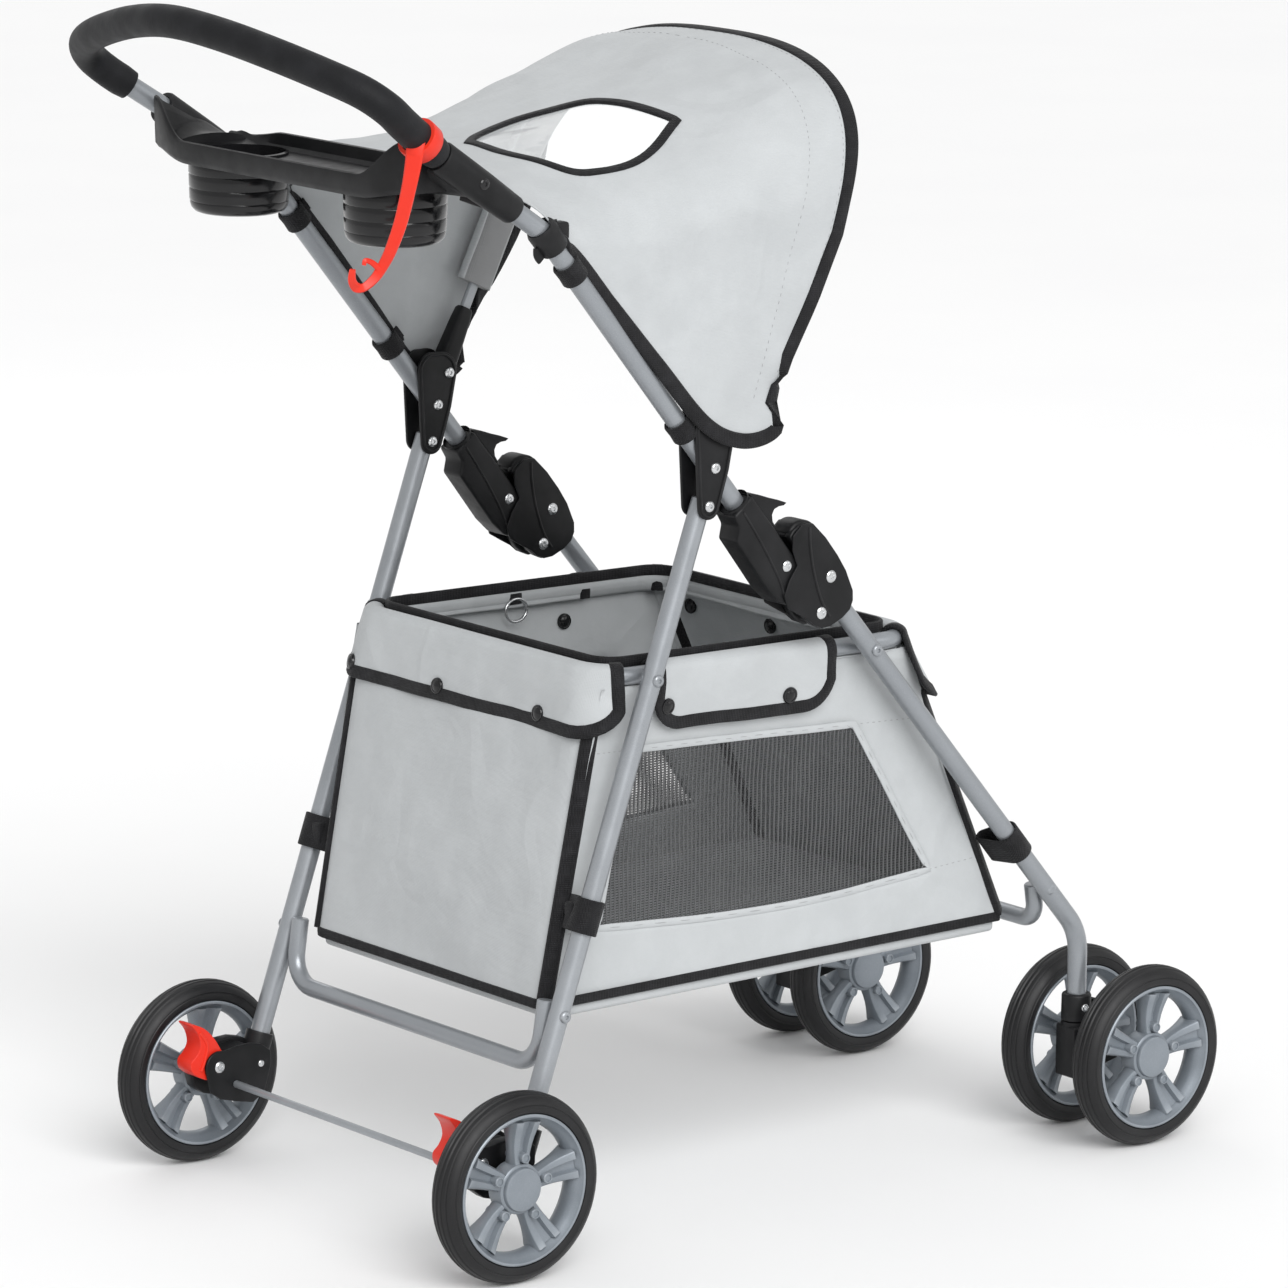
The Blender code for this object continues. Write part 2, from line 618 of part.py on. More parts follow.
def bow():
    """Round wire bow: two straight legs and a flattened arch."""
    top, shoulder = 294, 160
    path = [Vector(bow_point(18, TUBE_Y))]
    count = 14
    for i in range(count + 1):
        t = math.pi * i / count
        across = math.copysign(abs(math.cos(t)) ** 0.72, math.cos(t))
        path.append(Vector(bow_point(shoulder + (top - shoulder) * math.sin(t) ** 0.72, TUBE_Y * across)))
    path.append(Vector(bow_point(18, -TUBE_Y)))
    tube("canopy_bow", path, 4.5, 1.0, "steel", 2)
    for side, sign in SIDES:
        y = sign * TUBE_Y
        outline = hull_outline([(*BOW_PIVOT, 9), (*bow_point(38, 0)[::2], 8)])
        socket = add(f"bow_socket_{side}", plate_mesh(outline, y - 7.5, y + 7.5, [(*BOW_PIVOT, 2.6)]),
                     "black")
        axis = (math.cos(BOW_ANGLE), 0, math.sin(BOW_ANGLE))
        boolean(socket, cylinder_mesh(bow_point(41, y), axis, 5.0, 50, 12))
        place(socket, at(BOW_PIVOT, y))


def canopy_section(v):
    """Lower edge, apex, half width, arch height and squareness of the canopy's fabric.

    v runs from 0 at the rear edge to 1 at the visor's edge.
    """
    lows = [(-216, 806), (-196, 786), (-162, 745), (-113, 686), (-72, 637), (-42, 619), (-10, 608)]
    tops = [(-250, 841), (-205, 846), (-148, 856), (-85, 871), (-20, 890), (40, 909), (92, 913)]
    arches = [40, 58, 78, 88, 98, 120, 120]
    place_on = v * (len(lows) - 1)
    i = min(int(place_on), len(lows) - 2)
    f = place_on - i
    low = Vector(lows[i]).lerp(Vector(lows[i + 1]), f)
    top = Vector(tops[i]).lerp(Vector(tops[i + 1]), f)
    arch = arches[i] + (arches[i + 1] - arches[i]) * f
    flare = min(max((v - 0.35) / 0.35, 0), 1)
    square = 1.0 - 0.25 * min(max((v - 0.55) / 0.3, 0), 1)
    return low, top, 178 + 11 * flare + 3 * v, arch, square


def canopy():
    sections, across = 13, 18
    shape = bmesh.new()
    rows = []
    for i in range(sections):
        low, top, half, arch, square = canopy_section(i / (sections - 1))
        run = (top - low).length
        shoulder = run - arch
        row = []
        for j in range(across + 1):
            t = math.pi * j / across
            reach = shoulder + arch * math.sin(t) ** square
            if j in (0, across):
                reach = 0
            y = half * math.copysign(abs(math.cos(t)) ** square, math.cos(t))
            x, z = low.lerp(top, reach / run)
            row.append(shape.verts.new((x, y, z)))
        rows.append(row)
    for row, following in zip(rows, rows[1:]):
        for j in range(across):
            shape.faces.new((row[j], row[j + 1], following[j + 1], following[j]))
    bmesh.ops.recalc_face_normals(shape, faces=shape.faces)
    mesh = bpy.data.meshes.new("canopy_fabric")
    shape.to_mesh(mesh)
    shape.free()
    mesh.transform(Matrix.Scale(MM, 4))
    sheet = add("canopy_fabric", mesh, "fabric")
    shell = sheet.modifiers.new("cloth", "SOLIDIFY")
    shell.thickness = 2.0 * MM
    shell.offset = 0.0


# ---- basket -----------------------------------------------------------------------------
def basket():
    """Open-topped fabric tub below the rail, and the padded mat on its floor."""
    top_half, low_half = 158, 150
    corners = {"rear_top": (-158, 436), "rear_low": (-200, 194), "front_low": (278, 194),
               "front_top": (172, 430)}
    shape = bmesh.new()
    verts = {}
    for name, (x, z) in corners.items():
        half = top_half if "top" in name else low_half
        for side, sign in SIDES:
            verts[name, side] = shape.verts.new((x, sign * half, z))
    order = list(corners)
    for a, b in zip(order, order[1:]):
        shape.faces.new((verts[a, "left"], verts[b, "left"], verts[b, "right"], verts[a, "right"]))
    for side, _ in SIDES:
        shape.faces.new([verts[name, side] for name in order])
    bmesh.ops.recalc_face_normals(shape, faces=shape.faces)
    mesh = bpy.data.meshes.new("basket_fabric")
    shape.to_mesh(mesh)
    shape.free()
    mesh.transform(Matrix.Scale(MM, 4))
    tub = add("basket_fabric", mesh, "fabric", smooth=False)
    shell = tub.modifiers.new("cloth", "SOLIDIFY")
    shell.thickness = 2.5 * MM
    shell.offset = 0.0
    shell.use_even_offset = True
    mat = add("floor_mat", box_mesh((-182, -142, 197), (262, 142, 209)), "fabric", smooth=False)
    bevel = mat.modifiers.new("round", "BEVEL")
    bevel.width = 4 * MM
    bevel.segments = 2


def build():
    wheels()
    rear_legs()
    front_legs()
    handle()
    basket_rail()
    brackets()
    locks()
    brakes()
    casters()
    tray()
    hook_strap()
    bow()
    canopy()
    basket()


build()
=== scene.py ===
"""Looks of a folding pet stroller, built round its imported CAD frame.

Shapes are drawn in millimetres in the frame's own axes: +X is the way it travels,
+Y its left, +Z up, with the floor at Z = 0. They become metres when a piece is made.
"""
import math

import bmesh
import bpy
from mathutils import Matrix, Vector, noise
from mathutils.bvhtree import BVHTree


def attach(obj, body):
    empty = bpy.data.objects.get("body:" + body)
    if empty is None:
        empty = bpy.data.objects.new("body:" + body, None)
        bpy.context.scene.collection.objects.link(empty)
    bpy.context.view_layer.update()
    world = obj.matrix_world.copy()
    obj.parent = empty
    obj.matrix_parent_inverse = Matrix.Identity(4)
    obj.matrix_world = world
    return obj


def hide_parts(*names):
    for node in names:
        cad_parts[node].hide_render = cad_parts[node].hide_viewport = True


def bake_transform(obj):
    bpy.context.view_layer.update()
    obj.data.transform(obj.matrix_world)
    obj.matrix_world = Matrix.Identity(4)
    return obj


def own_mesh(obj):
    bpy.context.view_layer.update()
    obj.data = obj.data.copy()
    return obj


MM = 0.001
WELD = 0.002 * MM
SIDES = (("left", 1), ("right", -1))

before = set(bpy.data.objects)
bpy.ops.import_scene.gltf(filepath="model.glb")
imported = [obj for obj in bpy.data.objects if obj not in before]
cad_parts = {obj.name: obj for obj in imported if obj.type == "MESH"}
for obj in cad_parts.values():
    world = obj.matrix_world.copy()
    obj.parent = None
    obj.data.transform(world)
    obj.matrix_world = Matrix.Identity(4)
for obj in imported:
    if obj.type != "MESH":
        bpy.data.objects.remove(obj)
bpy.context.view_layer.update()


# ---- camera ------------------------------------------------------------------------------
def add_camera():
    """A long lens at waist height, behind the stroller and to its right."""
    turn, rise, roll = (math.radians(a) for a in (230.922, 11.877, 0.505))
    back = Vector((math.cos(rise) * math.cos(turn), math.cos(rise) * math.sin(turn), math.sin(rise)))
    right = Vector((0, 0, 1)).cross(back).normalized()
    up = back.cross(right)
    across = right * math.cos(roll) + up * math.sin(roll)
    upward = up * math.cos(roll) - right * math.sin(roll)
    data = bpy.data.cameras.new("camera")
    data.lens = 186.08
    data.sensor_width = 36.0
    data.clip_end = 100.0
    camera = in_scene(bpy.data.objects.new("camera", data))
    place = Matrix((across, upward, back)).transposed().to_4x4()
    place.translation = (-3.2676, -4.0488, 1.5221)
    camera.matrix_world = place
    bpy.context.scene.camera = camera


# ---- materials ---------------------------------------------------------------------------
class Look:
    """A node material with colour drift, grain and edge wear, in metres of object space."""

    def __init__(self, name, colour, roughness, metallic=0.0, **sockets):
        self.material = bpy.data.materials.new(name)
        self.material.use_nodes = True
        self.nodes = self.material.node_tree.nodes
        self.links = self.material.node_tree.links
        self.shader = self.nodes["Principled BSDF"]
        self.coords = self.nodes.new("ShaderNodeTexCoord").outputs["Object"]
        self.colour, self.roughness, self.height = (*colour, 1.0), roughness, None
        for socket, value in {"Metallic": metallic, "Roughness": roughness, **sockets}.items():
            self.feed(self.shader, socket.replace("_", " "), value)

    def feed(self, node, key, value):
        """Link an input to another node's output, or set its value."""
        if isinstance(value, bpy.types.NodeSocket):
            self.links.new(value, node.inputs[key])
        else:
            node.inputs[key].default_value = value

    def node(self, kind, inputs, **settings):
        """Outputs of a new node, its inputs given by name or number."""
        node = self.nodes.new("ShaderNode" + kind)
        for setting, value in settings.items():
            setattr(node, setting, value)
        for key, value in inputs.items():
            self.feed(node, key, value)
        return node.outputs

    def noise(self, scale, detail=3.0, rough=0.55, stretch=None):
        source = self.coords
        if stretch:
            source = self.node("Mapping", {"Vector": source, "Scale": stretch})[0]
        inputs = {"Vector": source, "Scale": scale, "Detail": detail, "Roughness": rough}
        return self.node("TexNoise", inputs)["Fac"]

    def wave(self, axis, period, distortion=0.6):
        """Sine bands with a period in metres."""
        inputs = {"Vector": self.coords, "Scale": 2 * math.pi / (20 * period),
                  "Distortion": distortion, "Detail": 1.0}
        return self.node("TexWave", inputs, wave_type="BANDS", bands_direction=axis)["Fac"]

    def cells(self, scale):
        return self.node("TexVoronoi", {"Vector": self.coords, "Scale": scale})["Distance"]

    def maths(self, operation, a, b=0.0):
        return self.node("Math", {0: a, 1: b}, operation=operation)[0]

    def remap(self, source, low, high, from_low=0.3, from_high=0.7):
        inputs = {"Value": source, "From Min": from_low, "From Max": from_high,
                  "To Min": low, "To Max": high}
        return self.node("MapRange", inputs)[0]

    def tint(self, factor, colour):
        """Mix the colour so far towards another one by a factor."""
        mixed = self.node("Mix", {0: factor, 6: self.colour, 7: (*colour, 1.0)}, data_type="RGBA")
        self.colour = mixed[2]
        return self

    def drift(self, colour, scale, amount):
        return self.tint(self.remap(self.noise(scale), 0.0, amount, 0.42, 0.68), colour)

    def wear(self, colour, amount):
        """Lighten convex edges where handling rubs them."""
        edge = self.remap(self.node("NewGeometry", {})["Pointiness"], 0.0, amount, 0.53, 0.62)
        return self.tint(self.maths("MULTIPLY", edge, self.remap(self.noise(60.0), 0.3, 1.0)), colour)

    def flecks(self, scale, amount, colour):
        return self.tint(self.remap(self.noise(scale, 1.0), 0.0, amount, 0.5, 0.75), colour)

    def rough(self, scale, swing, stretch=None):
        noise_at = self.noise(scale, stretch=stretch)
        value = self.remap(noise_at, self.roughness - swing, self.roughness + swing)
        self.feed(self.shader, "Roughness", value)
        return self

    def relief(self, source, depth):
        """Add a height source, in metres from trough to crest."""
        scaled = self.maths("MULTIPLY", source, depth)
        self.height = scaled if self.height is None else self.maths("ADD", self.height, scaled)
        return self

    def grain(self, scale, depth, detail=3.0, rough=0.55):
        return self.relief(self.noise(scale, detail, rough), depth)

    def weave(self, period, depth):
        for axis in "XYZ":
            self.relief(self.wave(axis, period), depth)
        return self

    def done(self, strength=1.0):
        self.feed(self.shader, "Base Color", self.colour)
        bump = self.node("Bump", {"Height": self.height, "Strength": strength, "Distance": 1.0})
        self.feed(self.shader, "Normal", bump["Normal"])
        return self.material


def silver_paint():
    look = Look("silver_paint", (0.25, 0.266, 0.285), 0.34, 0.5, Coat_Weight=0.2, Coat_Roughness=0.2)
    look.drift((0.3, 0.318, 0.338), 9.0, 0.6).wear((0.5, 0.52, 0.54), 0.3)
    look.flecks(2600.0, 0.16, (0.75, 0.77, 0.8))
    return look.rough(35.0, 0.06).grain(700.0, 0.00002, 2.0).done()


def black_plastic():
    look = Look("black_plastic", (0.0045, 0.0047, 0.0053), 0.44, Specular_IOR_Level=0.24)
    look.drift((0.012, 0.012, 0.0132), 30.0, 0.7).wear((0.045, 0.045, 0.047), 0.4)
    look.rough(70.0, 0.07).relief(look.cells(1600.0), 0.00004)
    return look.grain(260.0, 0.00003).done()


def gloss_black():
    look = Look("gloss_black", (0.0045, 0.0045, 0.005), 0.19, Specular_IOR_Level=0.42)
    look.drift((0.01, 0.01, 0.0115), 25.0, 0.6).wear((0.035, 0.035, 0.037), 0.3)
    return look.rough(60.0, 0.06).grain(90.0, 0.00008, 2.0).done()


def foam():
    look = Look("foam", (0.0065, 0.0068, 0.008), 0.6,
                Sheen_Weight=0.03, Sheen_Roughness=0.5, Specular_IOR_Level=0.2)
    look.drift((0.012, 0.0125, 0.0145), 40.0, 0.8)
    look.tint(look.remap(look.cells(900.0), 0.35, 0.0, 0.0, 0.35), (0.008, 0.008, 0.009))
    return look.rough(50.0, 0.08).relief(look.cells(900.0), 0.00012).grain(45.0, 0.0002).done()


def tyre_rubber():
    look = Look("tyre_rubber", (0.007, 0.007, 0.0078), 0.46, Specular_IOR_Level=0.35)
    look.drift((0.015, 0.015, 0.016), 22.0, 0.8).wear((0.038, 0.038, 0.039), 0.35)
    return look.rough(40.0, 0.1).grain(160.0, 0.00012).grain(1300.0, 0.00003).done()


def rim_plastic():
    look = Look("rim_plastic", (0.19, 0.214, 0.24), 0.4, 0.35)
    look.drift((0.225, 0.25, 0.278), 28.0, 0.7).wear((0.44, 0.47, 0.5), 0.5)
    look.flecks(2400.0, 0.12, (0.6, 0.63, 0.67))
    return look.rough(60.0, 0.06).grain(500.0, 0.00002).done()


def grey_cloth(name, colour, shade):
    look = Look(name, colour, 0.82, Sheen_Weight=0.15, Sheen_Roughness=0.4)
    look.drift(shade, 5.0, 0.5).drift(tuple(c * 1.12 for c in colour), 38.0, 0.35)
    for scale, width, depth in ((3.6, 0.035, 0.0011), (9.0, 0.05, 0.0004)):
        away = look.maths("ABSOLUTE", look.maths("SUBTRACT", look.noise(scale, 2.0, 0.5), 0.5))
        look.relief(look.remap(away, 1.0, 0.0, 0.0, width), depth)
    look.tint(look.remap(look.noise(1500.0, 2.0, 0.6), 0.0, 0.3, 0.4, 0.8), shade)
    look.weave(0.0011, 0.00006).grain(13.0, 0.0035, 4.0, 0.5).grain(48.0, 0.0006)
    return look.rough(120.0, 0.06).done(0.85)


def webbing():
    look = Look("webbing", (0.006, 0.006, 0.007), 0.7,
                Sheen_Weight=0.06, Sheen_Roughness=0.45, Specular_IOR_Level=0.25)
    look.drift((0.014, 0.014, 0.016), 60.0, 0.8).weave(0.0016, 0.00022)
    return look.rough(150.0, 0.08).grain(180.0, 0.0002).done()


def thread():
    look = Look("thread", (0.3, 0.305, 0.312), 0.8).drift((0.24, 0.245, 0.25), 200.0, 0.7)
    return look.rough(300.0, 0.1).relief(look.wave("X", 0.0012), 0.0001).done()


def netting():
    """Dark knitted mesh with upright ribs; light shows through its holes."""
    look = Look("netting", (0.03, 0.031, 0.033), 0.7)
    look.drift((0.05, 0.051, 0.053), 45.0, 0.7)
    ribs = look.wave("X", 0.0042, 0.35)
    rungs = look.wave("Z", 0.0021, 0.35)
    look.tint(look.remap(ribs, 0.0, 0.75, 0.35, 0.95), (0.1, 0.102, 0.105))
    solid = look.maths("MAXIMUM", ribs, look.maths("MULTIPLY", rungs, 0.85))
    look.links.new(look.remap(solid, 0.12, 0.88, 0.45, 0.92), look.shader.inputs["Alpha"])
    return look.relief(ribs, 0.0003).relief(rungs, 0.00015).rough(200.0, 0.08).done()


def clear_film():
    look = Look("clear_film", (0.93, 0.95, 0.96), 0.09, Alpha=0.3).drift((0.82, 0.85, 0.87), 14.0, 0.6)
    return look.rough(20.0, 0.03).grain(11.0, 0.0022).done()


def red_plastic():
    look = Look("red_plastic", (0.66, 0.022, 0.008), 0.36, Specular_IOR_Level=0.35)
    look.drift((0.55, 0.018, 0.007), 35.0, 0.5).wear((0.8, 0.08, 0.04), 0.35)
    return look.rough(80.0, 0.05).grain(320.0, 0.00003).done()


def steel():
    look = Look("steel", (0.62, 0.63, 0.64), 0.24, 1.0)
    look.drift((0.45, 0.46, 0.47), 120.0, 0.5).wear((0.85, 0.86, 0.87), 0.4)
    return look.rough(90.0, 0.08, (1, 12, 1)).grain(900.0, 0.00001, 2.0).done()


LOOKS = {
    "silver": (silver_paint(), "silver_tube"),
    "black": (black_plastic(), "black_plastic"),
    "gloss": (gloss_black(), "gloss_black"),
    "foam": (foam(), "foam"),
    "tyre": (tyre_rubber(), "tyre"),
    "rim": (rim_plastic(), "rim"),
    "cloth": (grey_cloth("grey_cloth", (0.432, 0.449, 0.458), (0.362, 0.377, 0.386)), "grey_fabric"),
    "pocket": (grey_cloth("pocket_cloth", (0.27, 0.273, 0.276), (0.22, 0.223, 0.226)), "grey_fabric"),
    "tape": (webbing(), "grey_fabric"),
    "thread": (thread(), "grey_fabric"),
    "net": (netting(), "grey_fabric"),
    "film": (clear_film(), "grey_fabric"),
    "red": (red_plastic(), "red_plastic"),
    "steel": (steel(), "steel"),
}


# ---- shape kit ---------------------------------------------------------------------------
def clamped(t):
    return min(max(t, 0.0), 1.0)


def smooth(t):
    t = clamped(t)
    return t * t * (3 - 2 * t)


def spread(start, end, count):
    return [start + (end - start) * i / (count - 1) for i in range(count)]


def interpolate(keys, x):
    """Piecewise-linear value at x from (x, value) keys."""
    if x <= keys[0][0]:
        return keys[0][1]
    for (x0, v0), (x1, v1) in zip(keys, keys[1:]):
        if x <= x1:
            return v0 + (v1 - v0) * (x - x0) / (x1 - x0)
    return keys[-1][1]


def catmull(p0, p1, p2, p3, t):
    """Point at t between p1 and p2 of a Catmull-Rom curve."""
    return 0.5 * ((2 * p1) + (p2 - p0) * t + (2 * p0 - 5 * p1 + 4 * p2 - p3) * t * t
                  + (3 * p1 - p0 - 3 * p2 + p3) * t ** 3)


def eased(keys, v):
    """Point at v, from 0 to 1, of the curve through evenly spaced keys."""
    place = clamped(v) * (len(keys) - 1)
    i = min(int(place), len(keys) - 2)
    four = (Vector(keys[min(max(k, 0), len(keys) - 1)]) for k in range(i - 1, i + 3))
    return catmull(*four, place - i)


def curve_through(points, steps=6, closed=False):
    """Catmull-Rom path through points."""
    points = [Vector(p) for p in points]
    count = len(points)
    path = []
    for i in range(count if closed else count - 1):
        four = [points[k % count if closed else min(max(k, 0), count - 1)] for k in range(i - 1, i + 3)]
        path += [catmull(*four, step / steps) for step in range(steps)]
    return path if closed else path + [points[-1]]


def rounded(points, radius, steps=8):
    """Replace each inner corner of a path by an arc."""
    points = [Vector(p) for p in points]
    path = [points[0]]
    for before, corner, after in zip(points, points[1:], points[2:]):
        a = (before - corner).normalized()
        b = (after - corner).normalized()
        half = a.angle(b) / 2
        room = 0.49 * min((before - corner).length, (after - corner).length)
        reach = min(radius / math.tan(half), room)
        centre = corner + (a + b).normalized() * reach / math.cos(half)
        start, end = corner + a * reach - centre, corner + b * reach - centre
        sweep = start.angle(end)
        for t in spread(0, 1, steps + 1):
            mixed = start * math.sin((1 - t) * sweep) + end * math.sin(t * sweep)
            path.append(centre + mixed / math.sin(sweep))
    return path + [points[-1]]


def turns(count):
    return [2 * math.pi * k / count for k in range(count)]


def ring(radius, count, height=None):
    """Circle or ellipse section, counter-clockwise."""
    height = radius if height is None else height
    return [(radius * math.cos(a), height * math.sin(a)) for a in turns(count)]


def mirrored(profile):
    """A profile followed by its own mirror image."""
    return profile + [(r, -along) for r, along in reversed(profile)]


def flat_section(width, thick):
    """Rounded strip section: across, then along the normal."""
    w, h = width / 2, thick / 2
    c = min(w, h) * 0.6
    half = [(w, -h + c), (w, h - c), (w - c, h), (-w + c, h)]
    return half + [(-a, -b) for a, b in half]


def hull_outline(circles, count=48):
    """Outline round circles (x, z, radius), as a belt would run."""
    outline = []
    for angle in turns(count):
        direction = Vector((math.cos(angle), math.sin(angle)))
        best = max(circles, key=lambda c: Vector(c[:2]).dot(direction) + c[2])
        point = Vector(best[:2]) + direction * best[2]
        if not outline or (point - Vector(outline[-1])).length > 0.4:
            outline.append(tuple(point))
    return outline


class Shape:
    """Vertices (mm) and faces gathered until they become one object."""

    def __init__(self):
        self.verts, self.faces = [], []

    def grid(self, rows, around=False, ends=False, skip=None):
        """Faces between rows of points, closed round each row or left out where asked."""
        start, width = len(self.verts), len(rows[0])
        for row in rows:
            self.verts += [Vector(p) for p in row]
        for i in range(len(rows) - 1):
            for j in range(width if around else width - 1):
                if not (skip and skip(i, j)):
                    a, b = start + i * width + j, start + i * width + (j + 1) % width
                    self.faces.append((a, b, b + width, a + width))
        if ends:
            last = len(self.verts) - width
            self.faces.append(tuple(range(start + width - 1, start - 1, -1)))
            self.faces.append(tuple(range(last, last + width)))
        return self

    def sweep(self, path, section, normals=None, closed=False, scale=None):
        """Run a section of (across, normal) points along a path."""
        path = [Vector(p) for p in path]
        count = len(path)
        rows, across = [], None
        for i, point in enumerate(path):
            before = path[i - 1] if closed or i else path[0]
            after = path[(i + 1) % count] if closed or i + 1 < count else path[-1]
            tangent = (after - before).normalized()
            if normals:
                across = tangent.cross(Vector(normals[i] if isinstance(normals, list) else normals))
            elif across is None:
                across = tangent.cross(Vector((0, 1, 0) if abs(tangent.y) < 0.9 else (1, 0, 0)))
            else:
                across = across - tangent * across.dot(tangent)
            across.normalize()
            normal = across.cross(tangent)
            grow = scale(i / (count - 1)) if scale else 1.0
            wide, tall = grow if isinstance(grow, tuple) else (grow, grow)
            rows.append([point + across * a * wide + normal * b * tall for a, b in section])
        if closed:
            rows.append(rows[0])
        return self.grid(rows, around=True, ends=not closed)

    def tube(self, path, radius, count=24, closed=False):
        """Round bar; its ends are eased by 1 mm."""
        path = [Vector(p) for p in path]
        if closed:
            return self.sweep(path, ring(radius, count), closed=True)
        first, last = (path[1] - path[0]).normalized(), (path[-2] - path[-1]).normalized()
        path = [path[0], path[0] + first, *path[1:-1], path[-1] + last, path[-1]]
        total = len(path) - 1
        return self.sweep(path, ring(radius, count),
                          scale=lambda t: 1.0 if 0 < round(t * total) < total else 1 - 1 / radius)

    def lathe(self, profile, centre=(0, 0, 0), axis=(0, 0, 1), count=32, closed=False, capped=False):
        """Turn (radius, along) points about an axis; a capped one has a flat first end."""
        turn = Vector((0, 0, 1)).rotation_difference(Vector(axis).normalized()).to_matrix()
        start = len(self.verts)
        rows = []
        for radius, along in profile + profile[:1] if closed else profile:
            rows.append([Vector(centre) + turn @ Vector((x, y, along)) for x, y in ring(radius, count)])
        self.grid(rows, around=True)
        if capped:
            self.faces.append(tuple(range(start, start + count)))
        return self

    def solid(self, loops, edge=0.0, segments=3):
        """Add a closed prism between two loops of points, its edges rounded."""
        shape = bmesh.new()
        low, high = ([shape.verts.new(p) for p in loop] for loop in loops)
        shape.faces.new(low[::-1])
        shape.faces.new(high)
        for i in range(len(low)):
            k = (i + 1) % len(low)
            shape.faces.new((low[i], low[k], high[k], high[i]))
        bmesh.ops.recalc_face_normals(shape, faces=shape.faces)
        if edge:
            sharp = [e for e in shape.edges if e.calc_face_angle(0) > math.radians(30)]
            bmesh.ops.bevel(shape, geom=sharp, offset=edge, segments=segments, profile=0.5,
                            affect="EDGES", clamp_overlap=True)
        start = len(self.verts)
        shape.verts.index_update()
        self.verts += [v.co.copy() for v in shape.verts]
        self.faces += [tuple(start + v.index for v in f.verts) for f in shape.faces]
        shape.free()
        return self

    def plate(self, outline, low, high, edge=0.8, segments=3):
        """X-Z outline between two Y planes."""
        return self.solid([[(x, y, z) for x, z in outline] for y in sorted((low, high))], edge, segments)

    def block(self, low, high, edge=1.0, matrix=None, segments=3):
        (x0, y0, z0), (x1, y1, z1) = low, high
        loops = [[(x0, y0, z), (x1, y0, z), (x1, y1, z), (x0, y1, z)] for z in (z0, z1)]
        if matrix:
            loops = [[matrix @ Vector(p) for p in loop] for loop in loops]
        return self.solid(loops, edge, segments)

    def rivet(self, centre, axis, radius=4.6, proud=2.0):
        """Domed rivet head with a drilled centre."""
        profile = [(radius, -0.6), (radius, 0.3), (radius * 0.86, proud * 0.7), (radius * 0.55, proud),
                   (radius * 0.34, proud * 0.96), (radius * 0.26, proud * 0.5), (0.0, proud * 0.45)]
        return self.lathe(profile, centre, axis, 20, capped=True)

    def mesh(self, name):
        shape = bmesh.new()
        verts = [shape.verts.new(v * MM) for v in self.verts]
        for face in self.faces:
            shape.faces.new([verts[i] for i in face])
        bmesh.ops.remove_doubles(shape, verts=shape.verts, dist=WELD)
        bmesh.ops.dissolve_degenerate(shape, dist=WELD / 2, edges=shape.edges)
        bmesh.ops.recalc_face_normals(shape, faces=shape.faces)
        mesh = bpy.data.meshes.new(name)
        shape.to_mesh(mesh)
        shape.free()
        return mesh


def in_scene(obj):
    bpy.context.scene.collection.objects.link(obj)
    return obj


def new_object(mesh, name, look, sharp=38):
    mesh.shade_smooth()
    mesh.set_sharp_from_angle(angle=math.radians(sharp))
    if not mesh.materials:
        mesh.materials.append(LOOKS[look][0])
    obj = in_scene(bpy.data.objects.new(name, mesh))
    return obj


def built(shape, name, look, sharp=38):
    return new_object(shape.mesh(name), name, look, sharp)


def piece(shape, name, look, body, replaces=(), sharp=38):
    """Make a rigid piece that moves with a body and may stand for CAD nodes."""
    obj = built(shape, name, look, sharp)
    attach(obj, body)
    if replaces:
        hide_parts(*replaces)
    return obj


def apply_modifiers(obj):
    bpy.context.view_layer.update()
    evaluated = obj.evaluated_get(bpy.context.evaluated_depsgraph_get())
    mesh = bpy.data.meshes.new_from_object(evaluated)
    obj.modifiers.clear()
    obj.data = mesh
    return obj


def cloth(shape, name, look, thick=1.1):
    """An open sheet given a real thickness, not yet attached to anything."""
    obj = built(shape, name, look, 60)
    shell = obj.modifiers.new("cloth", "SOLIDIFY")
    shell.thickness = thick * MM
    shell.offset = 0.0
    return apply_modifiers(obj)


def cut(obj, shape):
    """Cut a closed shape out of an object."""
    helper = in_scene(bpy.data.objects.new("cutter", shape.mesh("cutter")))
    step = obj.modifiers.new("cut", "BOOLEAN")
    step.object = helper
    step.solver = "EXACT"
    apply_modifiers(obj)
    bpy.data.objects.remove(helper, do_unlink=True)
    obj.data.set_sharp_from_angle(angle=math.radians(38))
    return obj


def ripple(point, size, depth, seed=0.0):
    return noise.noise(Vector(point) / size + Vector((seed, seed * 0.7, -seed))) * depth


class Surface:
    """A point function of (u, v) with normals, for laying strips along it."""

    def __init__(self, point):
        self.point = point

    def normal(self, u, v, step=0.002):
        a = self.point(min(u + step, 1), v) - self.point(max(u - step, 0), v)
        b = self.point(u, min(v + step, 1)) - self.point(u, max(v - step, 0))
        return a.cross(b).normalized()

    def strip(self, shape, track, width, thick):
        """Lay a flat tape along (u, v) points."""
        path, normals = ([f(*spot) for spot in track] for f in (self.point, self.normal))
        return shape.sweep(path, flat_section(width, thick), normals)


def stitches(shape, path, normals):
    """A row of short thread stitches along a path."""
    length, gap, lift, section = 2.6, 2.2, 0.7, ring(0.22, 5)
    travelled, start = 0.0, None
    for a, b, normal in zip(path, path[1:], normals[1:]):
        travelled += (b - a).length
        if start is None:
            start, travelled = a, (b - a).length
        elif travelled >= length + gap:
            end = start.lerp(b, length / (length + gap))
            lifted = normal * lift
            shape.sweep([start + lifted * 0.4, start.lerp(end, 0.3) + lifted,
                         start.lerp(end, 0.7) + lifted, end + lifted * 0.4], section)
            start = None


